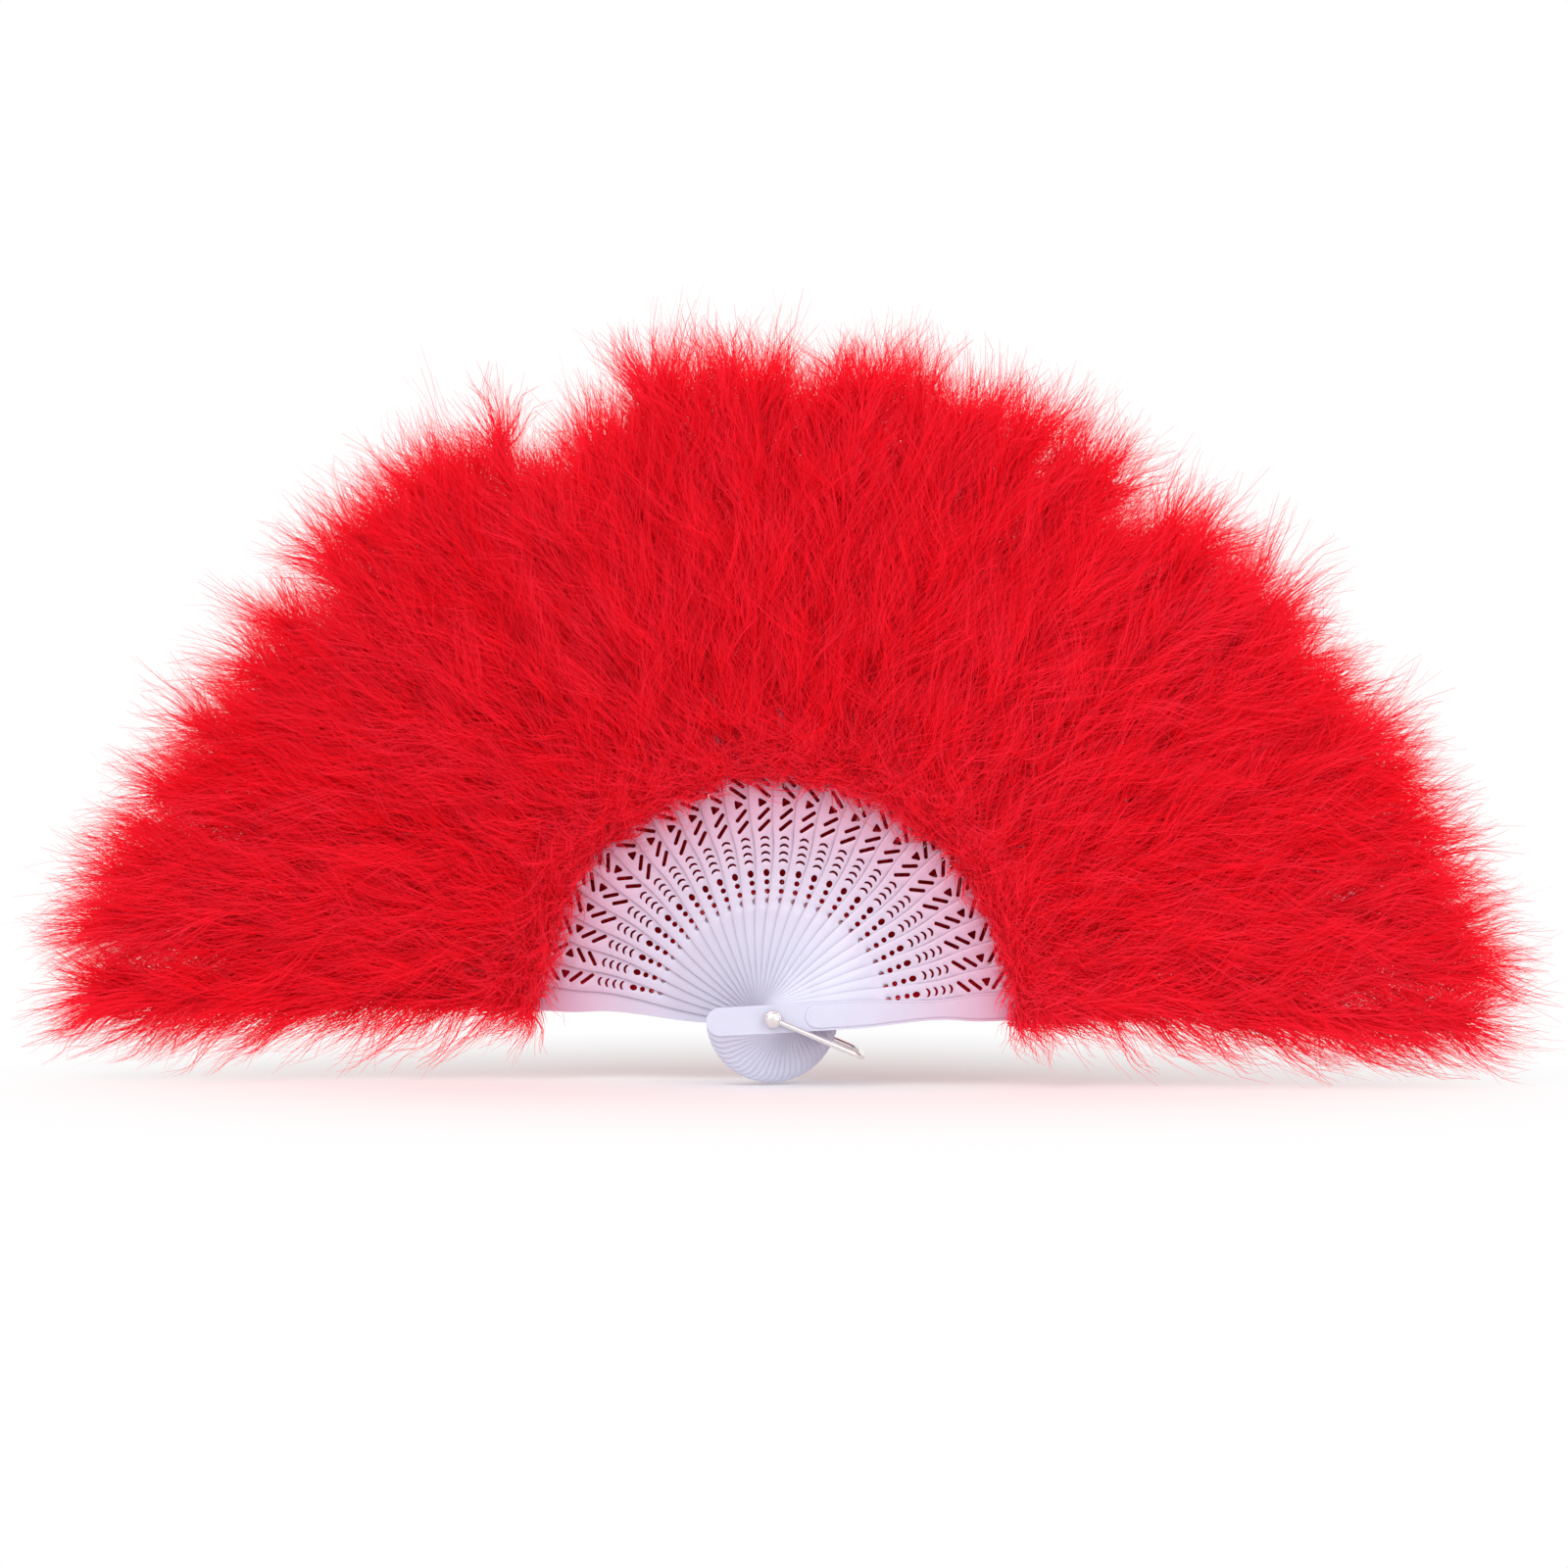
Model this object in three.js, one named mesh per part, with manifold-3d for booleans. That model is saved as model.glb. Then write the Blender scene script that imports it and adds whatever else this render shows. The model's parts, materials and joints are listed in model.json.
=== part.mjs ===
// Folding feather fan: pierced plastic sticks stacked on one rivet, each with a marabou plume on its blade.
// Millimetres, +Z up. The open fan stands in the XZ plane and its front faces -Y.
// The origin is on the rivet's axis, half way through the stack of sticks.
import * as THREE from 'three';
import { mergeVertices } from 'three/addons/utils/BufferGeometryUtils.js';
import Module from 'manifold-3d';

const wasm = await Module();
wasm.setup();

// Spread and stack. Stick 0 is the right guard, in front, and the last stick is the left guard, behind.
const STICK_COUNT = 28;
const SPREAD_DEG = 172.5;
const FIRST_STICK_DEG = 3.2;
const STICK_THICKNESS = 1;
const LAYER_GAP = 0.3;
const SEAT_CLEARANCE = 0.3;

// Stick outline: distances from the rivet's axis, and half widths there
const ROOT_REACH = 25;
const HUB_END = 28;
const HUB_HALF = 5.35;
const WAIST_RADIUS = 61;
const WAIST_HALF = 3.75;
const SHOULDER_RADIUS = 80;
const SHOULDER_HALF = 5.3;
const STICK_LENGTH = 190;
const TIP_HALF = 7.3;
const TIP_CORNER = 2.2;
const ROOT_STEPS = 6;
const WAIST_STEPS = 2;

// Piercing of a stick, from the hub outwards
const DOT_RADIUS = 43.8;
const DOT_PITCH = 3.5;
const DOT_COUNT = 4;
const DOT_SIZE = 2;
const LAST_DOT_WIDTH = 2.3;
const LAST_DOT_HEIGHT = 2.8;
const DOTS_TO_ARCS = 4.5;
const ARC_PITCH = 2.85;
const ARC_COUNT = 4;
const ARC_WIDTH = 3.3;
const ARC_SAG = 0.8;
const ARC_BAND = 0.9;
const ARCS_TO_SLOTS = 4.85;
const INNER_SLOT_PITCH = 4.4;
const OUTER_SLOT_PITCH = 4.3;
const SLOT_COUNT = 2;
const INNER_SLOT_LENGTH = 6.2;
const OUTER_SLOT_LENGTH = 7.6;
const SLOT_WIDTH = 1.4;
const SLOT_LEAN_DEG = 43;
const SLOTS_TO_HEART = 4.3;
const HEART_TO_SLOTS = 4.4;
const HEART_HEIGHT = 3.9;
const HEART_WIDTH = 3.6;
// These sticks were strung with their other face forward, so their piercing is mirrored.
const TURNED_STICKS = [21, 22, 23, 24, 26];

// Raised panel on the outer face of each guard, which runs out under the down
const PANEL_START = 12;
const PANEL_CORNER = 2.5;
const PANEL_INSET = 0.9;
const PANEL_HEIGHT = 0.6;
const PANEL_TUCK = 18;

// Rivet, washer and bail. The bail's bridge swings clear of the roots, by the bail's room.
const SHAFT_RADIUS = 1.5;
const PIVOT_CLEARANCE = 0.12;
const PIVOT_SIDES = 6;
const HEAD_RADIUS = 2.8;
const HEAD_HEIGHT = 1.6;
const HEAD_RIM = 0.5;
const HEAD_DOME_SHARE = 0.7;
const WASHER_RADIUS = 3.2;
const WASHER_THICKNESS = 0.8;
const ROUND_SIDES = 10;
const BAIL_WIRE = 2.2;
const BAIL_SIDES = 6;
const BAIL_ROOM = 11;
const BAIL_CORNER = 5;
const BAIL_REST_DEG = -23;
const BAIL_STEPS = 22;
const EYE_WALL = 1.5;
const EYE_THICKNESS = 1.6;

// Link ribbon, which holds the sticks at their spread
const RIBBON_FROM_TIP = 12;
const RIBBON_WIDTH = 5;
const RIBBON_THICKNESS = 0.3;
const RIBBON_ROOM = 2;

// Plumes: where they start and end along the stick, and how far they stand in front of it and behind it
const PLUME_FROM_SHOULDER = 6;
const PLUME_BEYOND_TIP = 68;
const END_PLUME_EXTRA = 22;
const END_PLUME_POWER = 4;
const PLUME_FRONT = 11;
const PLUME_BACK = 8.5;
const PLUME_FULLNESS_POWER = 3;
const PLUME_END_SHARE = 0.02;
const PLUME_TIP_SHARE = 0.985;
const PLUME_SECTION_SHARES = [0, 0.2, 0.5, 0.8, 1];
const PLUME_SIDE_SHARE = 0.85;
const PLUME_TIP_ROUND = 16;
const PLUME_TIP_SECTION_SHARE = 0.4;
const PLUME_TIP_HALF = 5;
const GUARD_PLUME_HALF = 27;
// The outer edge is uneven: degrees round the fan, and how much of its reach a plume gains or lacks there
const LOBES = [[54, -0.07], [66, 0.024], [98, 0.028], [110, -0.108], [138, -0.07], [152, -0.062]];
const LOBE_SPAN_DEG = 4.5;

const PLASTIC = { color: 0xe6e1f2, roughness: 0.35, metalness: 0 };
const MARABOU = { color: 0xdc1022, roughness: 0.95, metalness: 0 };
const SATIN = { color: 0xc40f1e, roughness: 0.55, metalness: 0 };
const BRIGHT_METAL = { color: 0xd9d8da, roughness: 0.18, metalness: 1 };

const LAST_STICK = STICK_COUNT - 1;
const PITCH_DEG = SPREAD_DEG / LAST_STICK;
const HALF_PITCH = THREE.MathUtils.degToRad(PITCH_DEG / 2);
const LAYER_PITCH = STICK_THICKNESS + LAYER_GAP;
const BLADE_TAPER = (TIP_HALF - SHOULDER_HALF) / (STICK_LENGTH - SHOULDER_RADIUS);
const PIVOT_HOLE_RADIUS = (SHAFT_RADIUS + PIVOT_CLEARANCE) / Math.cos(Math.PI / PIVOT_SIDES);
// Half the stack, measured to the outer face of a guard's panel
const STACK_HALF = (LAST_STICK * LAYER_PITCH + STICK_THICKNESS) / 2 + PANEL_HEIGHT;
const BAIL_LEG_Y = STACK_HALF + SEAT_CLEARANCE + BAIL_WIRE / 2;
const BAIL_REACH = ROOT_REACH + BAIL_ROOM;
const LAST_DOT_RADIUS = DOT_RADIUS + DOT_PITCH * (DOT_COUNT - 1);
const ARC_RADIUS = LAST_DOT_RADIUS + DOTS_TO_ARCS;
const INNER_SLOT_RADIUS = ARC_RADIUS + ARC_PITCH * (ARC_COUNT - 1) + ARCS_TO_SLOTS;
const HEART_RADIUS = INNER_SLOT_RADIUS + INNER_SLOT_PITCH * (SLOT_COUNT - 1) + SLOTS_TO_HEART;
const OUTER_SLOT_RADIUS = HEART_RADIUS + HEART_TO_SLOTS;
const RIBBON_RADIUS = STICK_LENGTH - RIBBON_FROM_TIP;
const PLUME_START = SHOULDER_RADIUS + PLUME_FROM_SHOULDER;
const PLUME_REACH = STICK_LENGTH + PLUME_BEYOND_TIP;
const MIDDLE_STICK = LAST_STICK / 2;
const HEAD_SEAT_Y = BAIL_LEG_Y + Math.max(BAIL_WIRE, EYE_THICKNESS) / 2 + SEAT_CLEARANCE;

const stickDeg = (index) => FIRST_STICK_DEG + PITCH_DEG * index;
const stickY = (index) => (index - MIDDLE_STICK) * LAYER_PITCH;
const bladeHalf = (radius) => SHOULDER_HALF + BLADE_TAPER * (radius - SHOULDER_RADIUS);
const point = (x, y) => new THREE.Vector2(x, y);

// Solids: a closed geometry becomes a manifold for a cut or a join, and comes back as a geometry.
function toSolid(geometry) {
  const bare = geometry.clone();
  bare.deleteAttribute('normal');
  bare.deleteAttribute('uv');
  const welded = mergeVertices(bare, 1e-5);
  const vertProperties = new Float32Array(welded.attributes.position.array);
  const triVerts = new Uint32Array(welded.index.array);
  return new wasm.Manifold(new wasm.Mesh({ numProp: 3, vertProperties, triVerts }));
}

function toGeometry(solid) {
  const { vertProperties, triVerts } = solid.getMesh();
  const geometry = new THREE.BufferGeometry();
  geometry.setAttribute('position', new THREE.BufferAttribute(vertProperties, 3));
  geometry.setIndex(new THREE.BufferAttribute(triVerts, 1));
  return geometry;
}

// A flat plate of the given outline, with x along the stick, y across it and its middle on the XZ plane
function plate(shape, thickness) {
  const geometry = new THREE.ExtrudeGeometry(shape, { depth: thickness, bevelEnabled: false });
  geometry.translate(0, 0, -thickness / 2);
  return geometry.rotateX(Math.PI / 2);
}

function block(x0, x1, y0, y1, z0, z1) {
  const geometry = new THREE.BoxGeometry(x1 - x0, y1 - y0, z1 - z0);
  return geometry.translate((x0 + x1) / 2, (y0 + y1) / 2, (z0 + z1) / 2);
}

// Upper edge of the stick between the hub and the shoulder: it draws in to the waist and swells again.
function waistEdge() {
  const ease = (share) => (1 - Math.cos(Math.PI * share)) / 2;
  const edge = [point(HUB_END, HUB_HALF)];
  for (let step = 1; step <= WAIST_STEPS; step += 1) {
    const share = step / WAIST_STEPS;
    edge.push(point(
      THREE.MathUtils.lerp(HUB_END, WAIST_RADIUS, share),
      THREE.MathUtils.lerp(HUB_HALF, WAIST_HALF, ease(share)),
    ));
  }
  for (let step = 1; step <= WAIST_STEPS; step += 1) {
    const share = step / WAIST_STEPS;
    edge.push(point(
      THREE.MathUtils.lerp(WAIST_RADIUS, SHOULDER_RADIUS, share),
      THREE.MathUtils.lerp(WAIST_HALF, SHOULDER_HALF, ease(share)),
    ));
  }
  return edge;
}

// The outline that starts with an upper edge and comes back along its mirror image
function mirroredShape(upper) {
  const lower = upper.map((p) => point(p.x, -p.y)).reverse();
  return new THREE.Shape([...upper, ...lower]);
}

function stickShape() {
  const root = [];
  const rootMiddle = HUB_HALF - ROOT_REACH;
  for (let step = 0; step < ROOT_STEPS / 2; step += 1) {
    const turn = Math.PI - (Math.PI * (step + 0.5)) / ROOT_STEPS;
    root.push(point(rootMiddle + HUB_HALF * Math.cos(turn), HUB_HALF * Math.sin(turn)));
  }
  root.push(point(rootMiddle, HUB_HALF));
  const tip = [
    point(STICK_LENGTH - TIP_CORNER, bladeHalf(STICK_LENGTH - TIP_CORNER)),
    point(STICK_LENGTH, TIP_HALF - TIP_CORNER),
  ];
  const shape = mirroredShape([...root, ...waistEdge(), ...tip]);
  const hole = [];
  for (let side = 0; side < PIVOT_SIDES; side += 1) {
    const turn = (2 * Math.PI * side) / PIVOT_SIDES;
    hole.push(point(PIVOT_HOLE_RADIUS * Math.cos(turn), PIVOT_HOLE_RADIUS * Math.sin(turn)));
  }
  shape.holes.push(new THREE.Path(hole));
  return shape;
}

function dotHole(radius, width, height) {
  return [
    point(radius - height / 2, 0),
    point(radius, width / 2),
    point(radius + height / 2, 0),
    point(radius, -width / 2),
  ];
}

// A bent band whose middle points outwards
function arcHole(radius) {
  const end = radius - ARC_SAG / 2;
  const middle = radius + ARC_SAG / 2;
  return [
    point(end - ARC_BAND / 2, -ARC_WIDTH / 2),
    point(middle - ARC_BAND / 2, 0),
    point(end - ARC_BAND / 2, ARC_WIDTH / 2),
    point(end + ARC_BAND / 2, ARC_WIDTH / 2),
    point(middle + ARC_BAND / 2, 0),
    point(end + ARC_BAND / 2, -ARC_WIDTH / 2),
  ];
}

// A straight slot across the stick. A positive lean makes it rise towards the stick's left edge.
function slotHole(radius, length, leanDeg) {
  const lean = THREE.MathUtils.degToRad(leanDeg);
  const along = point(Math.sin(lean), Math.cos(lean)).multiplyScalar(length / 2);
  const across = point(Math.cos(lean), -Math.sin(lean)).multiplyScalar(SLOT_WIDTH / 2);
  const middle = point(radius, 0);
  return [
    middle.clone().add(along).add(across),
    middle.clone().add(along).sub(across),
    middle.clone().sub(along).sub(across),
    middle.clone().sub(along).add(across),
  ];
}

function heartHole() {
  return [
    point(HEART_RADIUS - HEART_HEIGHT / 2, HEART_WIDTH / 2),
    point(HEART_RADIUS + HEART_HEIGHT / 2, HEART_WIDTH / 2),
    point(HEART_RADIUS, -HEART_WIDTH / 2),
  ];
}

function piercedStick(turned) {
  const holes = [];
  for (let dot = 0; dot < DOT_COUNT - 1; dot += 1) {
    holes.push(dotHole(DOT_RADIUS + DOT_PITCH * dot, DOT_SIZE, DOT_SIZE));
  }
  holes.push(dotHole(LAST_DOT_RADIUS, LAST_DOT_WIDTH, LAST_DOT_HEIGHT));
  for (let arc = 0; arc < ARC_COUNT; arc += 1) holes.push(arcHole(ARC_RADIUS + ARC_PITCH * arc));
  for (let slot = 0; slot < SLOT_COUNT; slot += 1) {
    holes.push(slotHole(INNER_SLOT_RADIUS + INNER_SLOT_PITCH * slot, INNER_SLOT_LENGTH, -SLOT_LEAN_DEG));
    holes.push(slotHole(OUTER_SLOT_RADIUS + OUTER_SLOT_PITCH * slot, OUTER_SLOT_LENGTH, SLOT_LEAN_DEG));
  }
  holes.push(heartHole());
  const side = turned ? -1 : 1;
  const punches = holes.map((hole) => {
    const outline = new THREE.Shape(hole.map((p) => point(p.x, side * p.y)));
    return plate(outline, STICK_THICKNESS + 2 * SEAT_CLEARANCE);
  });
  const blank = toSolid(plate(stickShape(), STICK_THICKNESS));
  return toGeometry(punches.reduce((stick, punch) => stick.subtract(toSolid(punch)), blank));
}

// A guard is a plain stick with a raised panel on the face that the closed fan shows.
function guardStick(outward) {
  const panelEdge = [
    point(PANEL_START, HUB_HALF - PANEL_CORNER),
    point(PANEL_START + PANEL_CORNER, HUB_HALF),
    ...waistEdge(),
    point(PLUME_START + PANEL_TUCK, SHOULDER_HALF),
  ];
  const inset = panelEdge.map((p) => point(p.x, p.y - PANEL_INSET));
  const panel = plate(mirroredShape(inset), STICK_THICKNESS);
  panel.translate(0, outward * PANEL_HEIGHT, 0);
  return toGeometry(toSolid(plate(stickShape(), STICK_THICKNESS)).add(toSolid(panel)));
}

function plumeReach(index) {
  const fromMiddle = (index - MIDDLE_STICK) / MIDDLE_STICK;
  let share = 1;
  for (const [degrees, gain] of LOBES) {
    share += gain * Math.exp(-(((stickDeg(index) - degrees) / LOBE_SPAN_DEG) ** 2));
  }
  return PLUME_REACH * share + END_PLUME_EXTRA * fromMiddle ** END_PLUME_POWER;
}

// A plume's closed form: six-sided sections along the stick, as wide as the stick's share of the spread.
// The two guard plumes spread freely on their outer side, which outerSide names as -1 or 1.
function plumeBody(index, outerSide) {
  const reach = plumeReach(index);
  const length = reach - PLUME_START;
  const tipStart = reach - PLUME_TIP_ROUND;
  const radii = PLUME_SECTION_SHARES.map((share) => THREE.MathUtils.lerp(PLUME_START, tipStart, share));
  radii.push(reach - PLUME_TIP_ROUND * PLUME_TIP_SECTION_SHARE, reach);
  const sections = radii.map((radius) => {
    const fill = THREE.MathUtils.clamp((radius - PLUME_START) / length, PLUME_END_SHARE, PLUME_TIP_SHARE);
    const swell = (1 - Math.abs(2 * fill - 1) ** PLUME_FULLNESS_POWER) ** (1 / PLUME_FULLNESS_POWER);
    const front = -PLUME_FRONT * swell;
    const back = PLUME_BACK * swell;
    const wedge = radius * Math.tan(HALF_PITCH) - SEAT_CLEARANCE / 2;
    const overTip = THREE.MathUtils.clamp((radius - tipStart) / PLUME_TIP_ROUND, 0, 1);
    const sector = THREE.MathUtils.lerp(PLUME_TIP_HALF, wedge, Math.sqrt(1 - overTip ** 2));
    const free = Math.max(sector, GUARD_PLUME_HALF * swell);
    const left = outerSide > 0 ? free : sector;
    const right = outerSide < 0 ? -free : -sector;
    const middle = (left + right) / 2;
    return [
      [radius, PLUME_SIDE_SHARE * front, right],
      [radius, front, middle],
      [radius, PLUME_SIDE_SHARE * front, left],
      [radius, PLUME_SIDE_SHARE * back, left],
      [radius, back, middle],
      [radius, PLUME_SIDE_SHARE * back, right],
    ];
  });
  return loft(sections.flat(), sections[0].length);
}

// Rings of equal count, in order, closed by a flat face at each end
function loft(corners, count) {
  const faces = [];
  const rings = corners.length / count;
  for (let ring = 0; ring < rings - 1; ring += 1) {
    for (let corner = 0; corner < count; corner += 1) {
      const a = ring * count + corner;
      const b = ring * count + ((corner + 1) % count);
      faces.push(a, a + count, b, b, a + count, b + count);
    }
  }
  const last = (rings - 1) * count;
  for (let corner = 1; corner < count - 1; corner += 1) {
    faces.push(0, corner, corner + 1);
    faces.push(last, last + corner + 1, last + corner);
  }
  const geometry = new THREE.BufferGeometry();
  geometry.setAttribute('position', new THREE.Float32BufferAttribute(corners.flat(), 3));
  geometry.setIndex(faces);
  return geometry;
}

// The plume's inner end is open where neighbouring sticks still overlap, then it closes round its own blade.
const MOUTH_END = (SHOULDER_HALF - BLADE_TAPER * SHOULDER_RADIUS + SEAT_CLEARANCE)
  / (Math.tan(HALF_PITCH) - BLADE_TAPER);
const MOUTH_HALF = LAYER_PITCH + STICK_THICKNESS / 2 + SEAT_CLEARANCE;
const RIBBON_LEVEL = -(STICK_THICKNESS / 2 + SEAT_CLEARANCE + RIBBON_THICKNESS / 2);

function plume(index, outerSide) {
  const reach = plumeReach(index);
  const pocketEnd = STICK_LENGTH + SEAT_CLEARANCE;
  const pocket = mirroredShape([
    point(SHOULDER_RADIUS, SHOULDER_HALF + SEAT_CLEARANCE),
    point(pocketEnd, bladeHalf(pocketEnd) + SEAT_CLEARANCE),
  ]);
  const mouth = block(PLUME_START - SEAT_CLEARANCE, MOUTH_END, -MOUTH_HALF, MOUTH_HALF, -reach, reach);
  const half = RIBBON_WIDTH / 2 + SEAT_CLEARANCE;
  const channelSide = RIBBON_RADIUS * Math.tan(HALF_PITCH) + RIBBON_ROOM;
  const channelHalf = (LAYER_PITCH + RIBBON_THICKNESS) / 2 + SEAT_CLEARANCE;
  const channel = block(
    RIBBON_RADIUS - half,
    RIBBON_RADIUS + half,
    RIBBON_LEVEL - channelHalf,
    RIBBON_LEVEL + channelHalf,
    -channelSide,
    channelSide,
  );
  const body = toSolid(plumeBody(index, outerSide))
    .subtract(toSolid(mouth))
    .subtract(toSolid(plate(pocket, STICK_THICKNESS + 2 * SEAT_CLEARANCE)))
    .subtract(toSolid(channel));
  return toGeometry(body);
}

// The ribbon lies on the front of each blade and steps back one layer between one blade and the next.
function linkRibbon() {
  const flat = Math.asin((bladeHalf(RIBBON_RADIUS) + SEAT_CLEARANCE) / RIBBON_RADIUS);
  const corners = [];
  for (let index = 0; index < STICK_COUNT; index += 1) {
    const level = stickY(index) + RIBBON_LEVEL;
    const middle = THREE.MathUtils.degToRad(stickDeg(index));
    for (const turn of [middle - flat, middle + flat]) {
      for (const [radial, deep] of [[-1, 1], [1, 1], [1, -1], [-1, -1]]) {
        const radius = RIBBON_RADIUS + (radial * RIBBON_WIDTH) / 2;
        const y = level + (deep * RIBBON_THICKNESS) / 2;
        corners.push([radius * Math.cos(turn), y, radius * Math.sin(turn)]);
      }
    }
  }
  return loft(corners, 4);
}

// A round head at the front, the shaft, and the closed end that holds the washer at the back
function rivetPin() {
  const tailSeat = HEAD_SEAT_Y + WASHER_THICKNESS + SEAT_CLEARANCE;
  const domeHeight = THREE.MathUtils.lerp(HEAD_RIM, HEAD_HEIGHT, HEAD_DOME_SHARE);
  const headProfile = (seat, sign) => [
    point(HEAD_RADIUS, sign * seat),
    point(HEAD_RADIUS, sign * (seat + HEAD_RIM)),
    point(HEAD_RADIUS * HEAD_DOME_SHARE, sign * (seat + domeHeight)),
    point(0, sign * (seat + HEAD_HEIGHT)),
  ];
  const profile = [
    ...headProfile(HEAD_SEAT_Y, -1).reverse(),
    point(SHAFT_RADIUS, -HEAD_SEAT_Y),
    point(SHAFT_RADIUS, tailSeat),
    ...headProfile(tailSeat, 1),
  ];
  return new THREE.LatheGeometry(profile, ROUND_SIDES);
}

// A flat ring on the rivet's axis, centred at the given depth
function ring(inner, outer, thickness, y) {
  const profile = [
    point(inner, y - thickness / 2),
    point(outer, y - thickness / 2),
    point(outer, y + thickness / 2),
    point(inner, y + thickness / 2),
    point(inner, y - thickness / 2),
  ];
  return new THREE.LatheGeometry(profile, ROUND_SIDES);
}

const RING_BORE = (SHAFT_RADIUS + PIVOT_CLEARANCE) / Math.cos(Math.PI / ROUND_SIDES);

// One bent wire: an eye on the rivet at each face of the stack, two legs, and the bridge between them
function bailLoop() {
  const start = RING_BORE + EYE_WALL / 2;
  const at = (x, y) => new THREE.Vector3(x, y, 0);
  const route = new THREE.CurvePath();
  const legEnd = BAIL_REACH - BAIL_CORNER;
  const bridgeEnd = BAIL_LEG_Y - BAIL_CORNER;
  route.add(new THREE.LineCurve3(at(start, -BAIL_LEG_Y), at(legEnd, -BAIL_LEG_Y)));
  route.add(new THREE.QuadraticBezierCurve3(
    at(legEnd, -BAIL_LEG_Y),
    at(BAIL_REACH, -BAIL_LEG_Y),
    at(BAIL_REACH, -bridgeEnd),
  ));
  route.add(new THREE.LineCurve3(at(BAIL_REACH, -bridgeEnd), at(BAIL_REACH, bridgeEnd)));
  route.add(new THREE.QuadraticBezierCurve3(
    at(BAIL_REACH, bridgeEnd),
    at(BAIL_REACH, BAIL_LEG_Y),
    at(legEnd, BAIL_LEG_Y),
  ));
  route.add(new THREE.LineCurve3(at(legEnd, BAIL_LEG_Y), at(start, BAIL_LEG_Y)));
  const section = [];
  for (let side = 0; side < BAIL_SIDES; side += 1) {
    const turn = (2 * Math.PI * side) / BAIL_SIDES;
    section.push(point((BAIL_WIRE / 2) * Math.cos(turn), (BAIL_WIRE / 2) * Math.sin(turn)));
  }
  const wire = new THREE.ExtrudeGeometry(new THREE.Shape(section), {
    steps: BAIL_STEPS,
    bevelEnabled: false,
    extrudePath: route,
  });
  const eye = (y) => toSolid(ring(RING_BORE, RING_BORE + EYE_WALL, EYE_THICKNESS, y));
  return toGeometry(toSolid(wire).add(eye(-BAIL_LEG_Y)).add(eye(BAIL_LEG_Y)));
}

const fan = new THREE.Group();
const twoDigits = (index) => String(index).padStart(2, '0');

function addMesh(parent, name, geometry, finish) {
  const mesh = new THREE.Mesh(geometry, new THREE.MeshStandardMaterial(finish));
  mesh.name = name;
  parent.add(mesh);
}

for (let index = 0; index < STICK_COUNT; index += 1) {
  const leaf = new THREE.Group();
  leaf.position.y = stickY(index);
  leaf.rotation.y = -THREE.MathUtils.degToRad(stickDeg(index));
  fan.add(leaf);
  if (index === 0) {
    addMesh(leaf, 'right_guard_stick', guardStick(-1), PLASTIC);
    addMesh(leaf, 'right_guard_plume', plume(index, -1), MARABOU);
  } else if (index === LAST_STICK) {
    addMesh(leaf, 'left_guard_stick', guardStick(1), PLASTIC);
    addMesh(leaf, 'left_guard_plume', plume(index, 1), MARABOU);
  } else {
    const turned = TURNED_STICKS.includes(index);
    addMesh(leaf, `stick_${twoDigits(index)}`, piercedStick(turned), PLASTIC);
    addMesh(leaf, `plume_${twoDigits(index)}`, plume(index, 0), MARABOU);
  }
}

addMesh(fan, 'link_ribbon', linkRibbon(), SATIN);
addMesh(fan, 'rivet_pin', rivetPin(), BRIGHT_METAL);
const washerY = HEAD_SEAT_Y + WASHER_THICKNESS / 2;
addMesh(fan, 'rivet_washer', ring(RING_BORE, WASHER_RADIUS, WASHER_THICKNESS, washerY), BRIGHT_METAL);

const bail = new THREE.Group();
bail.rotation.y = -THREE.MathUtils.degToRad(BAIL_REST_DEG);
fan.add(bail);
addMesh(bail, 'bail_loop', bailLoop(), BRIGHT_METAL);

export default fan;
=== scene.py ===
import json
import math

import bpy
import numpy as np
from mathutils import Matrix, Vector


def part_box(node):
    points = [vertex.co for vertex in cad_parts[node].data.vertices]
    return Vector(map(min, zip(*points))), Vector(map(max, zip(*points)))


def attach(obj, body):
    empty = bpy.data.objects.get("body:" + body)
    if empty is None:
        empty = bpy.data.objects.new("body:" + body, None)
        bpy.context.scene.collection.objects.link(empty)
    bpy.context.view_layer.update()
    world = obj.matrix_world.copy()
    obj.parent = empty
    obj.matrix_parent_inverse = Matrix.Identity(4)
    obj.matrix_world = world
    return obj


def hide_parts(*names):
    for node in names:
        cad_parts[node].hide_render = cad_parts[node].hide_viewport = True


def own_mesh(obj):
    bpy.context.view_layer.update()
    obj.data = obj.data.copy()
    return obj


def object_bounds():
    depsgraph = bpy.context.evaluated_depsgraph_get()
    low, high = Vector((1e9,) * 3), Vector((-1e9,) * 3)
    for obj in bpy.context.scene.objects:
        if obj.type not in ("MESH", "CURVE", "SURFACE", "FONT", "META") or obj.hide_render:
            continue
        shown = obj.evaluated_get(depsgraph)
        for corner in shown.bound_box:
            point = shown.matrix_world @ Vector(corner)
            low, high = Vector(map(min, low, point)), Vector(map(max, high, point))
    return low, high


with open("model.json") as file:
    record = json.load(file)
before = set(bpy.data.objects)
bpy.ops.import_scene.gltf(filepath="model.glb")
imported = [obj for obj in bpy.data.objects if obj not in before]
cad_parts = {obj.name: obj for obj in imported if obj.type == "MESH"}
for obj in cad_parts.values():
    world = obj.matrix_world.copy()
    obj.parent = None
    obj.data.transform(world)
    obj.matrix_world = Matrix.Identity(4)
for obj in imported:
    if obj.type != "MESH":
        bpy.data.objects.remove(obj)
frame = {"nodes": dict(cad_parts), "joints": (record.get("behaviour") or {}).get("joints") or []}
cad_low, cad_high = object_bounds()

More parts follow.
